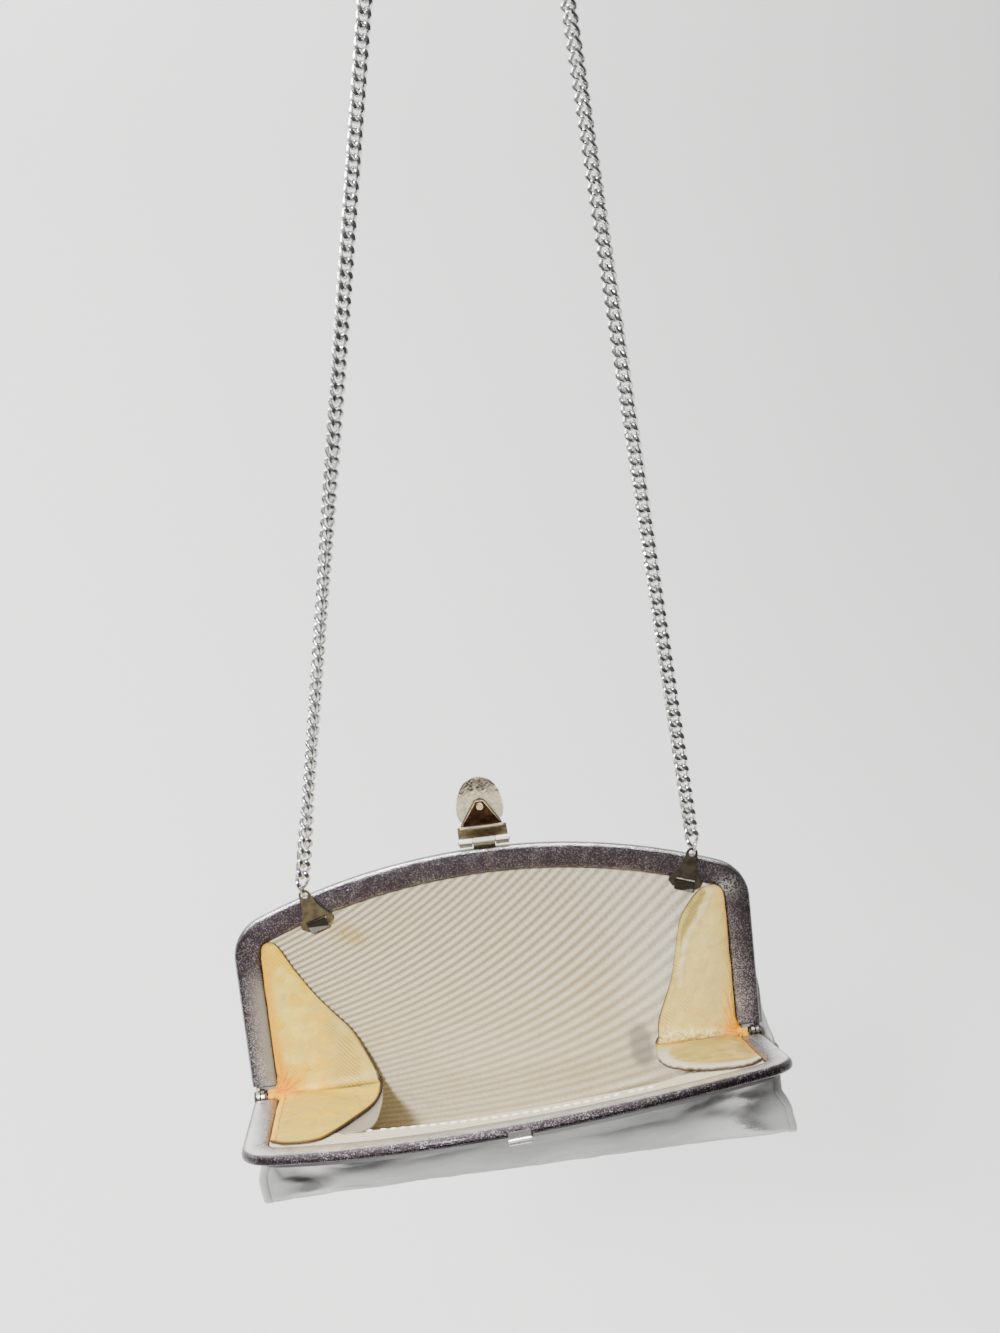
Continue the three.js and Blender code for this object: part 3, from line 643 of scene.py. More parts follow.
def leather_finish():
    SILVER = (0.60, 0.595, 0.59)
    DULL = (0.36, 0.355, 0.35)
    CREASED = (0.045, 0.042, 0.042)
    constants = {"Specular IOR Level": 0.15, "Specular Tint": (0.3, 0.3, 0.3, 1)}
    made = Finish("smooth silver leather", constants)
    grain = made.cells(0.7)
    pores = made.mottle(0.25)
    rubbed = made.mottle(26.0, 3.0).rising(0.35, 0.8)
    shade, seam, side = made.attributes("shade", "seam", "side")
    colour = made.layers(
        SILVER,
        (rubbed * 0.5 + pores * 0.15, DULL),
        # Painted shade under the front rail and in the creases, and darker seams.
        ((shade + 0.5 * seam).rising(0.0, 1.1), CREASED),
    )
    crumple = made.relief(made.mottle(5.0, 3.0), 0.35)
    made.set(
        {
            "Base Color": colour,
            "Metallic": 0.85 - 0.6 * shade - 0.5 * side,
            "Roughness": 0.22 + 0.14 * rubbed + 0.06 * pores + 0.1 * shade + 0.15 * side,
            "Normal": made.relief(grain * 0.7 + pores * 0.3, 0.04, crumple),
        }
    )
    return made


# Creases in the leather: each lifts it by rise along a line from start to end, width wide, and paints shade
# there; a negative shade takes painted shade away.
CREASES = [
    {"start": (-78.0, -5.5, -36.5), "end": (-47.0, -28.0, -18.0), "width": 4.6, "rise": -2.0, "shade": 0.6},
    {"start": (-95.0, -3.5, -28.6), "end": (-68.0, -5.4, -38.6), "width": 4.4, "rise": -1.4, "shade": 0.55},
    {"start": (-92.0, -13.0, -23.0), "end": (-42.0, -29.0, -17.0), "width": 3.8, "rise": -1.3, "shade": 0.5},
    {"start": (-95.0, -3.6, -33.3), "end": (-79.0, -5.6, -35.5), "width": 1.5, "rise": -0.8, "shade": 0.7},
    {"start": (-96.0, -3.5, -25.5), "end": (-91.6, -4.0, -33.0), "width": 1.4, "rise": -0.7, "shade": 0.6},
    {"start": (-72.0, -3.4, -40.4), "end": (-53.0, -3.0, -41.3), "width": 1.2, "rise": -0.5, "shade": 0.6},
    {"start": (-88.0, -8.0, -29.5), "end": (-60.0, -18.0, -23.0), "width": 2.6, "rise": 1.4, "shade": -0.4},
    {"start": (72.0, -17.0, -16.8), "end": (99.0, -3.6, -23.8), "width": 2.4, "rise": -1.6, "shade": 0.7},
    {"start": (61.0, -25.0, -15.0), "end": (93.0, -5.0, -27.2), "width": 2.4, "rise": -1.3, "shade": 0.6},
    {"start": (70.0, -15.0, -23.4), "end": (95.0, -4.6, -34.0), "width": 2.8, "rise": -1.0, "shade": 0.7},
    {"start": (74.0, -13.5, -20.0), "end": (97.0, -4.2, -26.4), "width": 2.0, "rise": 1.1, "shade": -0.4},
    {"start": (22.0, -25.0, -21.5), "end": (66.0, -20.0, -18.5), "width": 4.0, "rise": -0.9, "shade": 0.25},
    {"start": (-46.0, -21.0, -24.0), "end": (-6.0, -28.0, -18.0), "width": 4.0, "rise": -0.9, "shade": 0.25},
]


def leather_pouch():
    HELD_ROWS = 30
    CRUMPLE = 0.5
    SEAM_FROM_SIDE, SEAM_WIDTH = 2.6, 0.35
    SEAM_SINKS, EDGE_STANDS, EDGE_SLOPE = 0.15, 0.35, 0.6
    DUSK_FROM, DUSK_TO = -1.0, 24.0
    DUSK, DUSK_AT_ENDS, ENDS_X = 0.52, 0.28, (20, 85)
    SIDE_BAND = (6, 16)
    grid = pouch_grid(LEATHER_POUCH)
    row = np.arange(grid.shape[1])
    loose = np.minimum(1, np.minimum(row, row[::-1]) / HELD_ROWS) ** 2
    rise = CRUMPLE * loose * (crumpled(grid, 15.0, 3) + 0.5 * crumpled(grid, 6.0, 5))
    # Painted shade under the front rail, deeper towards the ends, and along each crease.
    under_rail = eased(-grid[..., 1], DUSK_FROM, DUSK_TO)
    shade = under_rail * (DUSK + DUSK_AT_ENDS * eased(np.abs(grid[..., 0]), *ENDS_X))
    for crease in CREASES:
        near = near_line(grid, crease)
        rise = rise + crease["rise"] * near
        shade = shade + crease["shade"] * near
    from_side = np.linalg.norm(grid - np.where(grid[..., :1] > 0, grid[:1], grid[-1:]), axis=-1)
    seam = peak(from_side, SEAM_FROM_SIDE, SEAM_WIDTH)
    edge = 1 - eased(from_side, SEAM_FROM_SIDE - EDGE_SLOPE, SEAM_FROM_SIDE)
    rise = rise + EDGE_STANDS * edge - SEAM_SINKS * seam
    grid = grid + outward(grid) * rise[..., None]
    wall = walled(grid, facing(grid), LEATHER / 2, LEATHER / 2)
    made = solid("leather_pouch", *wall, leather_finish(), "body_leather", stands_for=["leather_body"])
    note(made, shade=shade, seam=seam, side=1 - eased(from_side, *SIDE_BAND))


leather_pouch()


# The lining: ivory ribbed cloth, sewn to the rails' inner edges, which falls in one fold to the bottom.
# Its cords fan out to the right because the cloth was cut on the slant and pulled to the frame.
LINING = 1.0
LINING_POUCH = {
    "inset": RAIL_WIDTH + 0.4,
    "offset": PARTING + 1 + LINING / 2,
    "depth": 37.5,
    "seam": 1.0,
    "belly": 3.4,
    "leaves_rail": 6.0,
    "softness": 24.0,
    "front_taper": 0.0,
    "corner_steps": 10,
    "arch_steps": 96,
    "rows": {"upper": 108, "lower": 46, "fold": 8},
    "spread": {
        "heights": [12, -2, -12, -28, -37.5],
        "left": [0, 0.3, 3.4, 3.4, 2],
        "right": [0, 0.3, 3.4, 3.4, 2],
    },
    "folds": [],
}

# The cords' count: each row of factors goes with a power of x, and each column with a power of the height.
RIB_SCALE = 50.0
RIBS_BY_X_AND_HEIGHT = [
    [0, 15.57, -2.36, 0.74],
    [-3.4, -6.01, 0.77, 0],
    [-0.47, 0.58, 0, 0],
    [0.28, 0, 0, 0],
]
RIBS_BELOW = 0.34
RIB_HEIGHT = 0.36


def lining_finish():
    CREST = (0.80, 0.72, 0.53)
    VALLEY = (0.33, 0.265, 0.15)
    STAIN = (0.42, 0.28, 0.03)
    OLIVE_SHADE = (0.20, 0.16, 0.07)
    WATER_GREY = (0.22, 0.205, 0.17)
    SATIN_WHITE = (0.80, 0.78, 0.76)
    made = Finish("ivory ribbed lining", {"Sheen Weight": 0.1, "Sheen Roughness": 0.4})
    crest, glossy = made.attributes("crest", "glossy")
    stain, dusk, watermark = made.attributes("stain", "dusk", "watermark")
    weave = made.mottle(0.4)
    age = made.mottle(24.0, 4.0)
    fleck = made.mottle(1.1, 3.0).rising(0.5, 0.7)
    colour = made.layers(
        # Painted shade in the cords' valleys, with their crests lighter.
        VALLEY,
        ((crest * 0.7 + weave * 0.9 - 0.28).rising(0.0, 1.0), CREST),
        (age.rising(0.45, 0.8) * 0.15, STAIN),
        (stain * (0.5 + 0.5 * fleck), STAIN),
        (dusk * 0.8, OLIVE_SHADE),
        # Painted sheen, whiter to the right, where the cloth is also glossier.
        (glossy * (0.35 + 0.5 * fleck), SATIN_WHITE),
        # Painted shade of a dent near the right gusset.
        ((watermark * (0.7 + 0.6 * age)).rising(0.2, 0.75) * 0.75, WATER_GREY),
    )
    made.set(
        {
            "Base Color": colour,
            "Roughness": 0.66 - 0.3 * glossy,
            "Normal": made.relief(crest * 0.5 + weave * 0.7 + fleck * glossy, 0.18),
        }
    )
    return made


WRINKLES = [
    {"start": (-44.0, 2.0, -9.0), "end": (-33.0, 2.5, -19.0), "width": 1.3, "rise": 0.8},
    {"start": (-40.0, 2.0, -6.0), "end": (-22.0, 2.6, -17.0), "width": 1.4, "rise": 0.7},
    {"start": (33.6, 2.5, -17.7), "end": (59.3, 2.0, -14.0), "width": 1.8, "rise": 0.9},
    {"start": (36.0, 2.0, -12.5), "end": (52.0, 1.8, -9.5), "width": 1.6, "rise": 0.6},
]
# Marks on the lining: a stain, painted shade along a wrinkle, and the painted shade of a dent.
MARKS = [
    {"kind": "stain", "start": (-60.5, 1.2, 64.5), "end": (-46.5, 1.2, 55.6), "width": 3.6, "amount": 1.0},
    {"kind": "dusk", "start": (32.0, 2.4, -20.2), "end": (62.0, 2.0, -15.8), "width": 1.2, "amount": 0.9},
    {"kind": "watermark", "start": (52.4, 1.1, -12.0), "end": (50.0, 1.1, 12.0), "width": 5.0, "amount": 1.0},
]
STITCH_ROW = [(-52.0, 14.0), (-30.0, 9.5), (-4.0, 6.0), (27.0, 5.6), (46.0, 6.0)]


def lining():
    DEEPEST_FAN = -20
    LEAST_CONTRAST, MORE_ABOVE, ABOVE = 0.45, 0.9, (-15, 65)
    FRONT_DUSK, FRONT_FROM, FRONT_TO = 0.22, 90, 40
    GLOSSY_RUN, DULLED_HEIGHTS = (38, 78), (25, 60)
    grid = pouch_grid(LINING_POUCH)
    run = lengths_along(grid, axis=1)
    height = grid[:, :1, 2] - run
    x = grid[..., 0]
    fanned = np.maximum(height, DEEPEST_FAN)
    ribs = polyval2d(x / RIB_SCALE, fanned / RIB_SCALE, RIBS_BY_X_AND_HEIGHT) + RIBS_BELOW * (height - fanned)
    # The cords stand lower and their painted shade fades towards the bottom.
    contrast = LEAST_CONTRAST + MORE_ABOVE * eased(height, *ABOVE)
    crest = 0.5 + 0.5 * contrast * np.sin(2 * math.pi * ribs)
    inward = -outward(grid)
    rise = np.zeros(grid.shape[:2])
    for wrinkle in WRINKLES:
        rise = rise + wrinkle["rise"] * near_line(grid, wrinkle)
    marks = {kind: np.zeros(grid.shape[:2]) for kind in ("stain", "dusk", "watermark")}
    for mark in MARKS:
        marks[mark["kind"]] += mark["amount"] * near_line(grid, mark)
    rows = grid.shape[1]
    marks["dusk"] += FRONT_DUSK * eased(np.arange(rows), rows - FRONT_FROM, rows - FRONT_TO)
    grid = grid + inward * rise[..., None]
    wall = walled(grid, inward, LINING / 2 + RIB_HEIGHT * crest[..., None], LINING / 2)
    made = solid("ribbed_lining", *wall, lining_finish(), "lining_cloth", stands_for=["lining"])
    # Painted sheen and gloss to the right, less towards the top.
    glossy = eased(x + 0.25 * height, *GLOSSY_RUN) * (1 - 0.5 * eased(height, *DULLED_HEIGHTS))
    note(made, crest=crest, glossy=glossy, **marks)
    return grid, inward, run


def stitches(grid, inward, run):
    """A running stitch in white thread across the front panel, a little below its rail."""
    PITCH = 3.6
    HALF_LENGTH = 1.35
    THREAD = 0.42
    RINGS, AROUND = 7, 8
    LIFT = LINING / 2 + RIB_HEIGHT + 0.1
    BLUNT = 1.02
    WHITE = (0.93, 0.90, 0.82, 1)
    columns, downs = zip(*STITCH_ROW)
    seats = []
    for x in np.arange(columns[0], columns[-1], PITCH):
        column = np.abs(grid[:, -1, 0] - x).argmin()
        down = np.interp(x, columns, downs)
        place = np.abs(run[column] - run[column, -1] + down).argmin()
        seats.append(grid[column, place] + LIFT * inward[column, place])
    seats = np.array(seats)[np.argsort(np.array(seats)[:, 0])]
    finish = Finish("white thread", {"Base Color": WHITE, "Roughness": 0.6})
    points, faces = [], []
    around = full_turn(AROUND)[:, None]
    lengths = np.linspace(-1, 1, RINGS)[:, None, None]
    swell = np.sqrt(BLUNT - lengths**2)
    for seat, run_along in zip(seats, np.gradient(seats, axis=0)):
        forward = unit(run_along)
        out = unit(np.cross(forward, [0, -1, 0]))
        side = np.cross(forward, out)
        ring = np.cos(around) * out + np.sin(around) * side
        faces += tube_faces(RINGS, AROUND, first=RINGS * AROUND * len(points))
        points.append((seat + HALF_LENGTH * lengths * forward + THREAD * swell * ring).reshape(-1, 3))
    solid("lining_stitches", np.concatenate(points), faces, finish, "lining_cloth")


stitches(*lining())


# The gussets: cream satin, one at each side, gathered to the hinge and sewn to the legs of both rails.
# Each spreads into the bag and folds on a crease, with a turned edge that stands off the lining.
SATIN = 1.0
GUSSETS = [
    {
        "side": "left",
        "sign": -1,
        "crease": 48.6,
        "back": [
            *[(87.3, 56.6), (85.9, 61.0), (81.4, 60.4), (75.6, 49.5)],
            *[(69.5, 39.3), (63.1, 30.7), (57.3, 22.9), (51.5, 10.2)],
        ],
        "front": [
            *[(49.6, 16), (52.2, 29.7), (58.6, 43.9), (64.5, 54.9)],
            *[(70.6, 61.8), (81, 60.2), (87.2, 54.6)],
        ],
        "dim": 1.25,
        "faded": 0.0,
        "ridge": None,
        "band": (2.6, 2.2),
        "roll": 1.7,
        "cut": (0.062, 0.075),
        "area": 0.0040,
    },
    {
        "side": "right",
        "sign": 1,
        "crease": 56.5,
        "back": [
            *[(87.4, 56.6), (86.3, 60.6), (83.0, 62.4), (77.6, 60.6)],
            *[(70.6, 52), (67.8, 42.2), (64.4, 27), (58.8, 12)],
        ],
        "front": [
            *[(55.2, 13), (54.2, 30), (56.8, 44), (64.7, 55)],
            *[(74, 59.6), (82, 59.8), (87.2, 54.6)],
        ],
        "dim": 1.6,
        "faded": 0.85,
        "ridge": [(66.8, 28.7), (70.7, 42.7), (81.4, 59.3)],
        "band": (3.5, 4.5),
        "roll": 2.2,
        "cut": (0.058, 0.070),
        "area": 0.0036,
    },
]


def satin_finish():
    YELLOW = (0.95, 0.58, 0.018)
    PALE = (0.96, 0.74, 0.13)
    GREY_CREAM = (0.66, 0.53, 0.16)
    ORANGE = (0.88, 0.40, 0.008)
    MARGIN = (0.52, 0.48, 0.36)
    OLIVE_SHADE = (0.42, 0.29, 0.03)
    LOW_SHADE = (0.24, 0.16, 0.025)
    BEIGE = (0.78, 0.62, 0.27)
    RIDGE_LIGHT = (0.98, 0.88, 0.58)
    BROWN = (0.055, 0.026, 0.010)
    made = Finish("cream satin", {"Specular IOR Level": 0.35})
    warm, pale, dim, faded = made.attributes("warm", "pale", "dim", "faded")
    outer, margin, pleat, crinkle, seam = made.attributes("outer", "margin", "pleat", "crinkle", "seam")
    cloud = made.mottle(7.0, 4.0)
    patch = made.mottle(11.0, 3.0)
    fleck = made.mottle(1.3, 3.0)
    thread = made.mottle(0.3)
    wave = {"Vector": made.place(), "Scale": 0.38, "Distortion": 26.0, "Detail": 1.0, "Detail Scale": 0.07}
    watered = made.node("TexWave", {"bands_direction": "DIAGONAL"}, wave, "Fac").rising(0.3, 0.9)
    watered = watered * patch.rising(0.42, 0.6)
    warmth = warm * (1 - 0.45 * faded) * (0.6 + 0.7 * cloud)
    colour = made.layers(
        YELLOW,
        # Painted highlight where the panel bows out and along the crease band, and paler patches at random.
        ((cloud.rising(0.42, 0.6) * 0.6 + 0.4 * pale).rising(0.0, 0.9), PALE),
        (faded * (0.4 + 0.7 * patch), BEIGE),
        # A greyer tone away from the leg, and painted shade on the right gusset's fold beyond its ridge.
        ((outer * (0.5 + cloud)).rising(0.35, 0.9) * 0.85, GREY_CREAM),
        (watered * (0.3 + 0.25 * outer), OLIVE_SHADE),
        ((1 - patch).rising(0.54, 0.62) * (0.5 - 0.4 * warm), GREY_CREAM),
        (dim * (0.25 + 0.5 * cloud), LOW_SHADE),
        # Painted shadow beside the right gusset's ridge, and a painted highlight on it.
        (pleat.rising(0.0, 1.0) * 0.7, LOW_SHADE),
        ((0 - pleat).rising(0.0, 1.0) * 0.7, RIDGE_LIGHT),
        # Painted shade and painted highlights in flecks over the crinkled band.
        (crinkle * (1 - fleck).rising(0.5, 0.6) * 0.45, LOW_SHADE),
        (crinkle * fleck.rising(0.5, 0.6) * 0.7, RIDGE_LIGHT),
        (warmth.rising(0.05, 1.0), ORANGE),
        (margin * (0.5 + cloud), MARGIN),
        # Brown for the seam along the left gusset's front leg, and painted shadow along the free edge.
        (seam.rising(0.1, 0.9), BROWN),
    )
    made.set(
        {
            "Base Color": colour,
            "Roughness": 0.42 + 0.15 * thread - 0.08 * watered,
            "Normal": made.relief(thread + watered, 0.07, made.relief(made.mottle(5.0, 3.0), 1.2)),
        }
    )
    return made


CREAM_SATIN = satin_finish()


def through(rows, steps):
    """Points on a smooth curve through the rows, with that many steps between neighbours."""
    rows = np.asarray(rows, float)
    ends = np.concatenate([[2 * rows[0] - rows[1]], rows, [2 * rows[-1] - rows[-2]]])
    t = np.linspace(0, len(rows) - 1, (len(rows) - 1) * steps + 1)
    i = np.minimum(t.astype(int), len(rows) - 2)
    f = (t - i).reshape(-1, *[1] * (rows.ndim - 1))
    a, b, c, d = ends[i], ends[i + 1], ends[i + 2], ends[i + 3]
    return b + f * (c - a + f * (2 * a - 5 * b + 4 * c - d + f * (3 * (b - c) + d - a))) / 2


def gusset(side, sign, crease, back, front, dim, faded, ridge, band, roll, cut, area):
    """A panel fanned out from the hinge to its edge, folded on its crease and lifted into wrinkles."""
    LEG_X = 87.6
    INTO_RAIL = 0.4
    CREASE_Y, CREASE_Z = -2.6, 1.2
    TAIL = [(92.2, 1.5), (90.0, 1.9)]
    TAIL_FAN = [-0.1, -0.05]
    FAN = [0.1, 0.25, 0.5, 0.75, 1.0]
    STEPS = 8
    BOW_BACK, BOW_FRONT = 1.6, 1.8
    VALLEY_AT, VALLEY_WIDTH, VALLEY_DEPTH = 2.2, 1.5, 0.8
    GATHERS, GATHER_DEPTH, GATHER_REACH = 6, 0.5, 0.22
    HEM_INSETS, HEM_STANDS = (1.4, 1.9), 0.25
    TURNED, TURNED_REACH = 1.5, 22
    CRUMPLE, BAND_CRUMPLE, MARGIN_CRUMPLE = 0.45, 0.35, 0.6
    RIDGE_HEIGHTS, RIDGE_STANDS, RIDGE_WIDTH = (20, 30), 0.7, 1.6
    MARGIN_INSETS = (4, 7)
    LEG_GLOW, LEG_REACH = 0.8, 4
    LOW_GLOW, LOW_REACH = 0.7, 2.2
    VALLEY_GLOW, BAND_GLOW = 0.45, 0.65
    LEG_SEAM, LEG_SEAM_AT, LEG_SEAM_WIDTH = 0.7, 2.4, 0.3
    RIM_TONE, CREASE_TONE_REACH = 0.45, 16
    TO_CAMERA = (0, -0.5, 0.85)
    hinge = np.array([sign * LEG_X, 0, 0])
    crease_end = np.array([sign * crease, CREASE_Y, CREASE_Z])
    stand_off = np.linspace(INTO_RAIL, CREASE_Y, len(back) + 1)
    back_edge = [(sign * x, y, up) for (x, up), y in zip(back, stand_off)]
    front_edge = swung([(sign * x, -INTO_RAIL, up) for x, up in front])
    edge = np.concatenate(
        [through([*back_edge, crease_end], STEPS), through([crease_end, *front_edge], STEPS)[1:]]
    )
    away = unit(edge * [0, 1, 1])
    tail = [np.array([sign * x, 0, 0]) + radius * away for x, radius in TAIL]
    rows = [*tail, *[hinge + f * (edge - hinge) for f in FAN]]
    grid = through(rows, STEPS).swapaxes(0, 1)
    fan = np.clip(through([*TAIL_FAN, *FAN], STEPS), 0, 1)[None]

    fold = len(back) * STEPS
    columns = np.arange(len(edge))[:, None]
    on_back = np.clip(columns / fold, 0, 1)
    on_front = np.clip((columns - fold) / (len(edge) - 1 - fold), 0, 1)
    run = lengths_along(grid)
    off = run - run[fold]
    to_edge = (1 - fan) * np.linalg.norm(edge - hinge, axis=1)[:, None]
    off_leg = LEG_X - np.abs(grid[..., 0])

    from_crease = -off / (band[0] + band[1] * fan)
    in_band = np.sin(math.pi * np.clip(from_crease, 0, 1))
    bowed = np.sin(math.pi * fan)
    lift = BOW_BACK * np.sin(math.pi * on_back) * bowed + BOW_FRONT * np.sin(math.pi * on_front) * bowed
    lift = lift + roll * in_band * eased(fan, 0, 0.4)
    valley = peak(off, VALLEY_AT, VALLEY_WIDTH)
    lift = lift - VALLEY_DEPTH * valley * bowed
    gathers = np.sin(2 * math.pi * GATHERS * (on_back + 0.5 * on_front) + 3 * crumpled(grid, 8.0, 4))
    gathered = peak(fan, 0, GATHER_REACH)
    lift = lift + GATHER_DEPTH * gathers * gathered
    lift = lift + CRUMPLE * crumpled(grid, 8.0, 7) * bowed + BAND_CRUMPLE * crumpled(grid, 2.6, 9) * in_band
    hem = 1 - eased(to_edge, *HEM_INSETS)
    lift = lift + HEM_STANDS * hem
    # outer: a greyer tone away from the leg, and on the right gusset painted shade on the fold beyond its
    # ridge.
    outer = eased(off_leg, 6, 30) * (1 - eased(on_front, 0, 0.2))
    margin, pleat, crinkle = 0, 0, 0
    if ridge:
        past_ridge = np.interp(grid[..., 2], [z for _, z in ridge], [x for x, _ in ridge]) - grid[..., 0]
        upper = eased(grid[..., 2], *RIDGE_HEIGHTS) * (on_front == 0)
        lift = lift + RIDGE_STANDS * peak(past_ridge, 0, RIDGE_WIDTH) * upper * (1 - hem)
        outer = np.maximum(0.4 * outer, 1.3 * eased(past_ridge, 0, 1.2) * upper)
        margin = eased(on_front, 0.05, 0.2) * (1 - eased(to_edge, *MARGIN_INSETS))
        lift = lift + MARGIN_CRUMPLE * crumpled(grid, 2.2, 6) * margin
        # Painted shadow beside the ridge and a painted highlight on it.
        shadow = peak(past_ridge, 1.8, 1.4) + 0.35 * eased(past_ridge, 0.5, 2.5)
        pleat = (shadow - peak(past_ridge, -0.8, 1.1)) * upper * (1 - hem)
        # The crinkled band gets painted shade and painted highlights.
        crinkle = in_band * eased(fan, 0.1, 0.3)

    def upward(points):
        normal = facing(points)
        return normal * np.sign((normal @ TO_CAMERA).mean())

    grid = grid + upward(grid) * lift[..., None]
    turned = TURNED * peak(off, 0, TURNED_REACH) * eased(fan, 0.9, 1)
    wall = walled(grid, upward(grid), SATIN / 2, SATIN / 2 + turned[..., None])
    made = solid(f"satin_gusset_{side}", *wall, CREAM_SATIN, "gusset_satin", stands_for=[f"gusset_{side}"])
    warm = LEG_GLOW * peak(off_leg, 0, LEG_REACH) * (1 - on_front) + gathered
    warm = warm + LOW_GLOW * peak(off_leg, 0, LOW_REACH) * on_front
    # Painted shade, in orange, in the valley below the crease.
    warm = warm + VALLEY_GLOW * valley * (1 - eased(fan, 0.5, 0.9))
    warm = warm + BAND_GLOW * peak(from_crease, 1, 0.16) * (roll > 2)
    # The seam along the left gusset's front leg, and painted shadow along the free edge, deepest on the left
    # gusset near its crease.
    seam = LEG_SEAM * peak(off_leg, LEG_SEAM_AT, LEG_SEAM_WIDTH) * (on_front > 0.5) * (sign < 0)
    rim = np.broadcast_to(fan == 1, off.shape)
    bound = rim * (RIM_TONE + (sign < 0) * peak(off, 0, CREASE_TONE_REACH))
    note(
        made,
        warm=warm,
        # pale is the painted highlight where the panel bows out and along the crease band.
        pale=np.sin(math.pi * on_back) * bowed + 0.6 * in_band,
        dim=np.broadcast_to(dim * eased(on_front, 0.02, 0.3), off.shape),
        faded=faded,
        outer=outer,
        margin=margin,
        pleat=pleat,
        crinkle=crinkle,
        seam=np.concatenate([np.maximum(seam, bound), np.maximum(seam, rim)]),
    )


def underfold():
    """The left gusset's hem, which has slipped out below its lower panel as a narrow silvery flap."""
    INNER = [(50.2, 14), (53.4, 30), (59.4, 42.5), (65.2, 53)]
    OUTER = [(48.6, 3), (48.9, 33), (52.0, 56), (61.5, 58)]
    UNDER_PANEL, AT_EDGE = -1.7, -0.9
    STEPS, COLUMNS = 8, 7
    THICK = 0.5
    SILVER_GREY = (0.30, 0.28, 0.24, 1)
    share = np.linspace(0, 1, COLUMNS)[None, :, None]
    inner = swung([(-x, UNDER_PANEL, up) for x, up in INNER])
    outer = swung([(-x, AT_EDGE, up) for x, up in OUTER])
    grid = through(inner, STEPS)[:, None] * (1 - share) + through(outer, STEPS)[:, None] * share
    finish = Finish("silvery hem", {"Base Color": SILVER_GREY, "Metallic": 0.4, "Roughness": 0.4})
    wall = walled(grid, facing(grid), THICK / 2, THICK / 2)
    made = solid("gusset_hem_left", *wall, finish, "gusset_satin")


for row in GUSSETS:
    gusset(**row)
underfold()


# The clasp: a fixed leaf and pin on the back rail, and a bent flap that carries a domed ornament.
# Most of it is champagne-coloured plated metal. A rivet through the flap's pointed tongue holds the ornament,
# whose hollow side, brushed in two directions, shows while the clasp stands open.
CLASP_REST = math.radians(17)
CLASP_LEG = 9.5
CLASP_PLATE = 0.9


def on_flap(points):
    """Points of the flap's own frame, about its hinge, where the flap stands at rest."""
    x, y, z = np.moveaxis(np.asarray(points, float), -1, 0)
    sine, cosine = math.sin(CLASP_REST), math.cos(CLASP_REST)
    return CLASP_AXIS + np.stack([x, y * cosine - z * sine, y * sine + z * cosine], -1)


def plated_finish(name, light, dark, roughness, barrel=None):
    """Plated metal; where a barrel colour is given, the hinge's round barrel has it."""
    BARREL_SQUARED = (2.6, 3.6)
    made = Finish(name, {"Metallic": 1.0})
    cloud = made.mottle(2.5, 5.0)
    coats = [(cloud.rising(0.42, 0.72) * 0.8, dark)]
    if barrel:
        axis = clasp_joint["pos_m"]
        off_y = made.along((0, 1, 0)) - axis[1] / MM
        off_z = made.along(tuple(BAG_AXES[2])) - float(np.dot(axis, BAG_AXES[2])) / MM
        off_axis = off_y * off_y + off_z * off_z
        coats.append((1 - off_axis.rising(*BARREL_SQUARED), barrel))
    made.set(
        {
            "Base Color": made.layers(light, *coats),
            "Roughness": roughness + 0.2 * cloud,
            "Normal": made.relief(made.mottle(0.4), 0.02),
        }
    )
    return made


def brushed_finish():
    CREAM = (1.0, 0.90, 0.64)
    SCRATCH = (0.035, 0.032, 0.026)
    made = Finish("brushed champagne plating", {"Metallic": 0.3})
    hatch_a, hatch_b, rise = made.attributes("hatch_a", "hatch_b", "rise")
    strokes = []
    for across, lengthwise in ((hatch_a, hatch_b), (hatch_b, hatch_a)):
        vector = made.node("CombineXYZ", {}, {"X": 2.6 * across, "Y": 0.25 * lengthwise})
        strokes.append(made.node("TexNoise", {}, {"Vector": vector, "Scale": 1.0, "Detail": 2.0}))
    hatch = (strokes[0] * strokes[1] * 3.2).rising(0.6, 0.9)
    top = rise.rising(14.0, 20.0)
    dark = (hatch * 0.5 + top * (0.5 + 0.8 * hatch)).rising(0.15, 0.95)
    made.set(
        {
            "Base Color": made.layers(CREAM, (dark, SCRATCH)),
            "Roughness": 0.3 + 0.2 * hatch,
            "Normal": made.relief(hatch, 0.06),
        }
    )
    return made


def ornament():
    """The hollow ornament as a domed shell; each row of its outline is a height, half width and depth."""
    OUTLINE = [
        *[(2.6, 7.7, 1.6), (4.2, 8.4, 2.8), (7.0, 8.9, 3.6), (9.6, 8.8, 4.0), (12.2, 8.4, 4.0)],
        *[(15.2, 7.6, 3.8), (18.2, 6.3, 3.2), (20.2, 4.6, 2.3), (21.4, 2.4, 1.4)],
    ]
    STEPS, AROUND = 4, 40
    RIM_CURVE = 0.03
    BACK = CLASP_LEG + GAP
    rise, half, dome = through(OUTLINE, STEPS).T[..., None]
    angle = np.linspace(0, math.pi, AROUND + 1)
    across = np.linspace(-1, 1, AROUND + 1)[1:-1]
    x = np.concatenate([half * np.cos(angle), half * across], 1)
    y = BACK + np.concatenate([dome * np.sin(angle), 0 * half * across], 1)
    local = np.stack([x, y, rise + 0 * x], -1)
    made = solid(
        "clasp_dome",
        on_flap(local.reshape(-1, 3)),
        tube_faces(*local.shape[:2]),
        brushed_finish(),
        "clasp_metal",
        body="clasp",
        stands_for=["clasp_ornament"],
    )
    x, z = local[..., 0], local[..., 2]
    note(made, hatch_a=x + z, hatch_b=x - z, rise=z + RIM_CURVE * x**2)


def rod(start, end, radius, sides, first=0):
    """Points and faces of a round bar between two points."""
    start, end = np.asarray(start, float), np.asarray(end, float)
    forward = unit(end - start)
    side = np.cross(forward, [0, 1, 0])
    out = np.cross(side, forward)
    around = full_turn(sides)[:, None]
    ring = radius * (np.cos(around) * side + np.sin(around) * out)
    return np.concatenate([start + ring, end + ring]), tube_faces(2, sides, first)


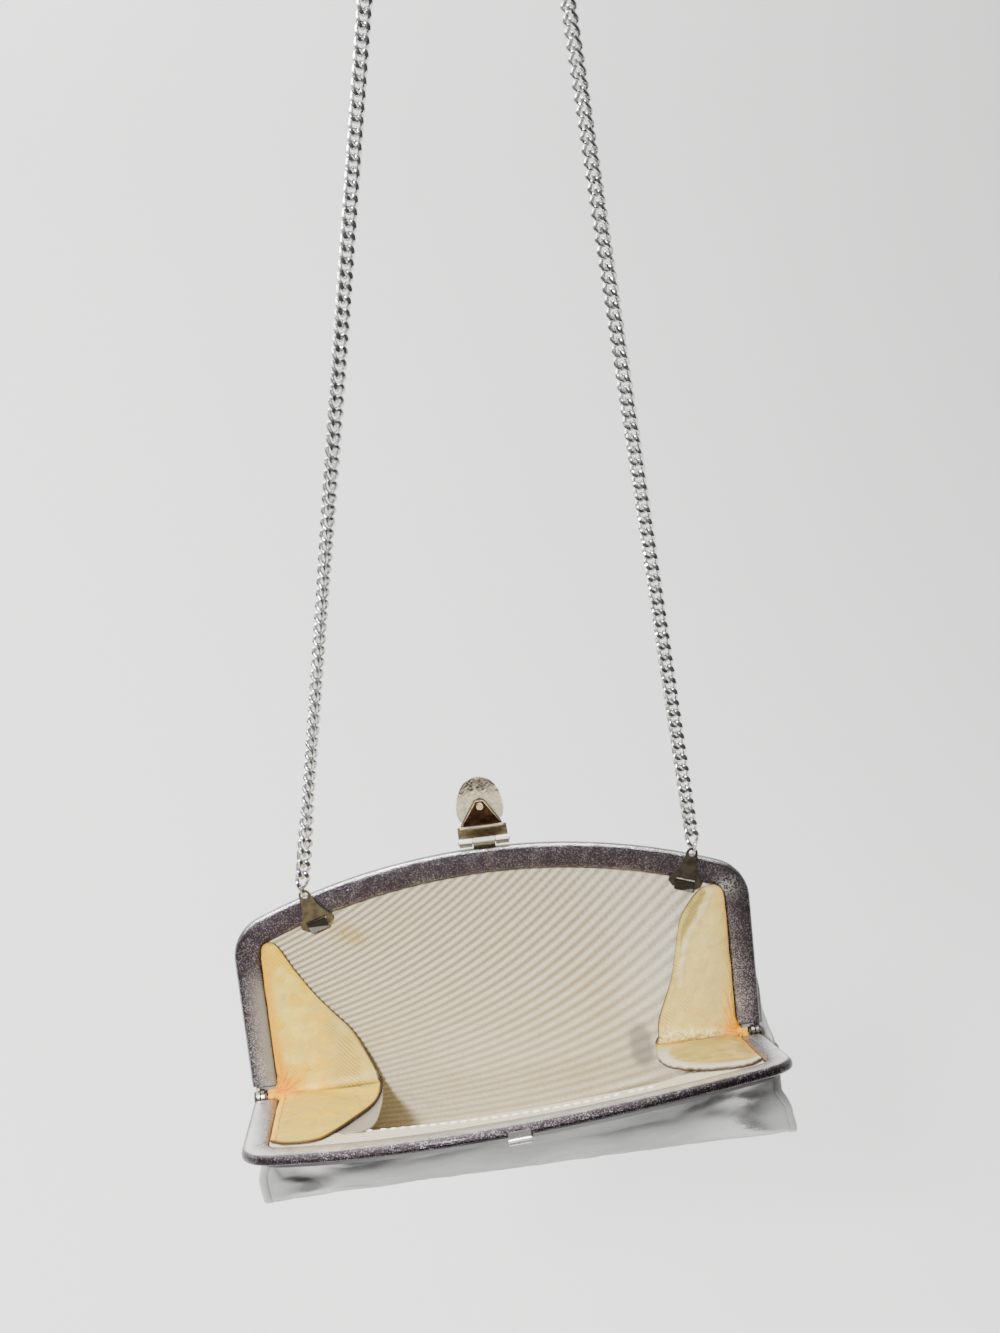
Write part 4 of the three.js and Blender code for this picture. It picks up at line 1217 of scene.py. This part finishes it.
def tongue():
    """The tongue's dark lacquered face, its bright edges and the bright bend at its foot."""
    FRONT = CLASP_LEG - CLASP_PLATE
    FACE = [(-7.3, 1.2), (7.3, 1.2), (1.5, 11.7), (-1.5, 11.7)]
    LACQUER_THICK = 0.15
    EDGES = [((-7.2, 2.0), (-1.4, 12.3)), ((7.2, 2.0), (1.4, 12.3)), ((-1.4, 12.3), (1.4, 12.3))]
    EDGE_WIRE, EDGE_SIDES = 0.28, 6
    BEND_HALF, BEND_RADIUS, BEND_SIDES = 8.2, 0.95, 20
    BEND_SEAT = (FRONT - 0.3, CLASP_PLATE / 2 + 0.15)
    BROWN, RUBBED = (0.055, 0.028, 0.018), (0.12, 0.07, 0.045)
    corners = [(x, FRONT - depth, z) for depth in (0, LACQUER_THICK) for x, z in FACE]
    faces = [[0, 1, 2, 3], [4, 5, 6, 7], *[[i, (i + 1) % 4, (i + 1) % 4 + 4, i + 4] for i in range(4)]]
    lacquer = plated_finish("brown lacquer", light=BROWN, dark=RUBBED, roughness=0.25)
    solid("tongue_face", on_flap(corners), faces, lacquer, "clasp_metal", body="clasp")
    points, faces = [], []
    for (x0, z0), (x1, z1) in EDGES:
        first = 2 * EDGE_SIDES * len(points)
        bar, sides = rod((x0, FRONT, z0), (x1, FRONT, z1), EDGE_WIRE, EDGE_SIDES, first)
        points.append(bar)
        faces += sides
    bars = on_flap(np.concatenate(points))
    solid("tongue_edges", bars, faces, BRIGHT_CHAMPAGNE, "clasp_metal", body="clasp")
    bar, sides = rod((-BEND_HALF, *BEND_SEAT), (BEND_HALF, *BEND_SEAT), BEND_RADIUS, BEND_SIDES)
    solid("clasp_bend", on_flap(bar), sides, BRIGHT_CHAMPAGNE, "clasp_metal", body="clasp")


DARK_CHAMPAGNE = plated_finish(
    "darkened champagne plating",
    light=(0.12, 0.095, 0.055),
    dark=(0.045, 0.035, 0.02),
    roughness=0.3,
    barrel=(0.44, 0.42, 0.37),
)
BRIGHT_CHAMPAGNE = plated_finish(
    "bright champagne plating",
    light=(0.92, 0.84, 0.68),
    dark=(0.6, 0.5, 0.34),
    roughness=0.12,
)
for node in ("clasp_leaf", "clasp_flap"):
    soften(node, DARK_CHAMPAGNE, 0.2)
soften("clasp_rivet", BRIGHT_CHAMPAGNE, 0.3)
soften("clasp_pin", AGED_NICKEL, 0.15)
ornament()
tongue()


# The catch: a small nickel strip on the front rail, rolled at its end. The closed clasp snaps over it.
def bright_nickel_finish():
    NICKEL = (0.72, 0.71, 0.69)
    SMUDGE = (0.36, 0.34, 0.31)
    made = Finish("bright nickel", {"Metallic": 0.85})
    smudge = made.mottle(1.6, 4.0).rising(0.5, 0.8)
    made.set({"Base Color": made.layers(NICKEL, (smudge * 0.6, SMUDGE)), "Roughness": 0.24 + 0.2 * smudge})
    return made


BRIGHT_NICKEL = bright_nickel_finish()
soften("front_catch", BRIGHT_NICKEL, 0.25)


# The hangers: bell-shaped lacquered plates at the back rail's inner edge, each with a jump ring at its top.
# A strap, passed through the plate's slot and with a painted highlight along its lower lip, holds each one.
def lacquer_finish(name, light, dark):
    made = Finish(name, {"Metallic": 0.55, "Coat Weight": 0.15, "Coat Roughness": 0.3})
    cloud = made.mottle(2.2, 5.0)
    colour = made.layers(light, (cloud.rising(0.35, 0.7), dark))
    made.set({"Base Color": colour, "Roughness": 0.42 + 0.15 * cloud})
    return made


def strap_finish(side):
    """Nickel with a painted highlight along the strap's lower lip and painted shade above it."""
    NICKEL = (0.74, 0.72, 0.68)
    DARKENED = (0.07, 0.06, 0.045)
    LIP_SHARE = {"left": 0.45, "right": 0.2}
    up = Vector(BAG_AXES[2])
    heights = [vertex.co.dot(up) / MM for vertex in frame["nodes"][f"hanger_strap_{side}"].data.vertices]
    lip = min(heights) + LIP_SHARE[side] * (max(heights) - min(heights))
    made = Finish(f"strap nickel {side}", {"Metallic": 0.8})
    # Painted shade above the lip, which keeps the bright nickel as a painted highlight.
    dull = (made.along(tuple(up)) + 0.6 * made.mottle(1.0)).rising(lip + 0.1, lip + 0.6)
    made.set({"Base Color": made.layers(NICKEL, (dull, DARKENED)), "Roughness": 0.22 + 0.15 * dull})
    return made


OLIVE = lacquer_finish("olive lacquer", light=(0.17, 0.135, 0.075), dark=(0.085, 0.066, 0.036))
DARK_OLIVE = lacquer_finish(
    "darkened olive lacquer",
    light=(0.075, 0.058, 0.038),
    dark=(0.028, 0.022, 0.016),
)
THIN_EDGE = 0.12
for side, plate in (("left", OLIVE), ("right", DARK_OLIVE)):
    soften(f"hanger_{side}", plate, THIN_EDGE)
    soften(f"hanger_strap_{side}", strap_finish(side), THIN_EDGE)
    soften(f"chain_ring_{side}", BRIGHT_NICKEL, THIN_EDGE)


# The chain: bright curb links of round wire, each twisted so that the chain lies flat, one through the next.
# It runs straight from each hanger's ring up to the hook, and turns slowly on its way.
HANGERS_X = (-68.0, 76.4)
HANGER_HOLE_RISE = 10.6
HANGER_THICK = 0.8
RING_RADIUS = 2.3
RING_WIRE = 0.5
CHAIN_MEETS = np.array([43.9, 641.1])
HOOK_BEND = 5.0
LINK_PITCH = 4.25
LINK_LENGTH = 3.1
LINK_HALF_WIDTH = 1.95
LINK_TWIST = 1.5
LINK_WIRE = 0.88
LINK_FACET = 1.7


def chain_finish():
    BRIGHT = (0.86, 0.86, 0.85)
    GREY = (0.13, 0.13, 0.135)
    made = Finish("bright plated chain", {"Metallic": 0.97})
    cloud = made.mottle(1.1, 4.0)
    made.set(
        {
            "Base Color": made.layers(BRIGHT, (cloud.rising(0.5, 0.72) * 0.7, GREY)),
            "Roughness": 0.12 + 0.16 * cloud,
            "Normal": made.relief(made.cells(0.7), 0.06),
        }
    )
    return made


def chain_points():
    """Points along the chain's middle, from the left ring over the bend at the hook to the right ring."""
    BEND_STEPS, LEG_STEPS = 40, 400
    reach = ARCH_RADIUS - RAIL_WIDTH + HANGER_HOLE_RISE + RING_RADIUS
    y = PARTING - GAP - HANGER_THICK / 2
    meets = np.array([CHAIN_MEETS[0], y, CHAIN_MEETS[1]])
    leans = [math.asin(x / ARCH_RADIUS) for x in HANGERS_X]
    rings = [np.array([reach * math.sin(a), y, ARCH_CENTRE[1] + reach * math.cos(a)]) for a in leans]
    rises = [unit(meets - ring) for ring in rings]
    half_angle = math.acos(rises[0] @ rises[1]) / 2
    axis = unit(rises[0] + rises[1])
    centre = meets - axis * HOOK_BEND / math.sin(half_angle)
    side = np.array([axis[2], 0, -axis[0]])
    turn = math.pi / 2 - half_angle
    turns = np.linspace(-turn, turn, BEND_STEPS)
    bend = [centre + HOOK_BEND * (axis * math.cos(a) + side * math.sin(a)) for a in turns]
    inside = RING_RADIUS - RING_WIRE - LINK_WIRE
    start, end = [ring + rise * inside for ring, rise in zip(rings, rises)]
    up = np.linspace(start, bend[0], LEG_STEPS)[:-1]
    down = np.linspace(bend[-1], end, LEG_STEPS)[1:]
    return np.concatenate([up, bend, down])


TWIST_ALONG = [
    *[(0.00, 0), (0.03, 70), (0.10, 65), (0.24, 5), (0.34, 25)],
    *[(0.48, 90), (0.52, 90), (0.75, 45), (0.92, 0), (1.00, 0)],
]


def chain():
    """Links set along the route, one through the next, each turned by the chain's slow twist."""
    AROUND = 22
    SIDES = 8
    route = chain_points()
    run = lengths_along(route)
    overlap = 2 * LINK_LENGTH - LINK_PITCH
    count = round((run[-1] - overlap) / LINK_PITCH)
    pitch = (run[-1] - overlap) / count

    def at(distance):
        return np.array([np.interp(distance, run, route[:, k]) for k in range(3)])

    t = full_turn(AROUND)
    ring = np.stack([LINK_LENGTH * np.cos(t), LINK_HALF_WIDTH * np.sin(t), -LINK_TWIST * np.sin(2 * t)], 1)
    tangent = np.stack(
        [-LINK_LENGTH * np.sin(t), LINK_HALF_WIDTH * np.cos(t), -2 * LINK_TWIST * np.cos(2 * t)], 1
    )
    tangent = unit(tangent)
    beside = unit(np.cross(tangent, [0, 0, 1]))
    above = np.cross(beside, tangent)
    angles = full_turn(SIDES)[:, None]
    wire = np.cos(angles) * beside[:, None] + np.sin(angles) * above[:, None]
    link = (ring[:, None] + LINK_WIRE * wire).reshape(-1, 3)
    link[:, 2] = np.clip(link[:, 2], -LINK_FACET, LINK_FACET)
    shares, degrees = zip(*TWIST_ALONG)
    points, faces = [], []
    for i in range(count):
        first = i * pitch
        low, high = at(first), at(first + 2 * LINK_LENGTH)
        forward = unit(high - low)
        across = unit(np.cross([0, 1, 0], forward))
        out = np.cross(forward, across)
        twist = math.radians(np.interp((first + LINK_LENGTH) / run[-1], shares, degrees))
        width = across * math.cos(twist) + out * math.sin(twist)
        thick = np.cross(forward, width)
        points.append((low + high) / 2 + link @ np.stack([forward, width, thick]))
        faces += band_faces(AROUND, SIDES, True, True, first=i * len(link))
    links = np.concatenate(points)
    solid("curb_chain", links, faces, chain_finish(), "chain_metal", stands_for=["chain"], sharp=50)


chain()


# The stage: a pale floor that sweeps up into a wall well behind the bag, lit from the front and above.
FLOOR = -1.0
WALL = 1.9
SWEEP = 0.9


def stage():
    HALF_WIDTH = 4.0
    NEAR = -0.3
    TOP = 3.0
    SWEEP_STEPS = 24
    PALE = (0.80, 0.80, 0.79, 1)
    turns = np.linspace(0, math.pi / 2, SWEEP_STEPS)
    bend = [(WALL - SWEEP + SWEEP * math.sin(a), FLOOR + SWEEP - SWEEP * math.cos(a)) for a in turns]
    line = [(NEAR, FLOOR), *bend, (WALL, TOP)]
    mesh = bpy.data.meshes.new("stage")
    points = [(x, y, z) for x in (-HALF_WIDTH, HALF_WIDTH) for y, z in line]
    mesh.from_pydata(points, [], band_faces(2, len(line)))
    mesh.shade_smooth()
    paper = Finish("pale paper", {"Base Color": PALE, "Roughness": 0.9})
    mesh.materials.append(paper.material)
    made = placed("stage", mesh)


stage()


def lamp(name, place, aim, width, height, watts):
    data = bpy.data.lights.new(name, "AREA")
    data.shape = "RECTANGLE"
    data.size, data.size_y = width, height
    data.energy = watts
    made = placed(name, data)
    made.location = place
    made.rotation_euler = (Vector(aim) - Vector(place)).to_track_quat("-Z", "Y").to_euler()


BAG_MIDDLE = in_row([0, -20, 30])
lamp("key", (-0.45, -1.25, 0.15), BAG_MIDDLE, 0.16, 0.16, 36)
lamp("overhead", (0.0, 0.1, 1.0), BAG_MIDDLE, 1.2, 0.9, 22)
lamp("backdrop", (-1.3, 0.4, 1.4), (-0.9, WALL, -0.4), 2.2, 0.8, 150)


# The studio round the stage is dark on the camera's side and lighter behind and above, as one lit room is.
def studio():
    DARK_ROOM = (0.04, 0.039, 0.04)
    LIT_WALL = (0.42, 0.42, 0.42)
    CEILING = (0.75, 0.75, 0.76)
    STRENGTH = 0.6
    world = bpy.data.worlds.new("studio")
    world.use_nodes = True
    bpy.context.scene.world = world
    nodes = Nodes(world.node_tree)
    towards = nodes.node("TexCoord", {}, {}, "Generated")
    back = nodes.dot(towards, (0, 1, 0))
    up = nodes.dot(towards, (0, 0, 1))
    room = nodes.layers(DARK_ROOM, (back.rising(-0.45, 0.4), LIT_WALL), (up.rising(0.35, 0.9), CEILING))
    background = world.node_tree.nodes["Background"].inputs
    nodes.feed(background["Color"], room)
    nodes.feed(background["Strength"], STRENGTH)


studio()


# The camera stands where the photograph was taken from: a little above the open bag, close, looking down.
def camera():
    EYE = (-16.0, -598.0, 296.5)
    TILT, ROLL, PAN = (math.radians(a) for a in (13.24, -6.27, 2.77))
    FOCAL_PIXELS = 1700
    LONG_SIDE_PIXELS = 1333
    SENSOR = 36.0
    data = bpy.data.cameras.new("camera")
    data.sensor_width = SENSOR
    data.lens = SENSOR * FOCAL_PIXELS / LONG_SIDE_PIXELS
    data.clip_start = 0.01
    made = placed("camera", data)
    turn = Matrix.Rotation(-PAN, 3, "Z") @ Matrix.Rotation(math.pi / 2 - TILT, 3, "X")
    turn = turn @ Matrix.Rotation(ROLL, 3, "Z")
    bag = Matrix(BAG_AXES.T.tolist())
    made.matrix_world = Matrix.Translation(in_row(EYE)) @ (bag @ turn).to_4x4()
    bpy.context.scene.camera = made


camera()
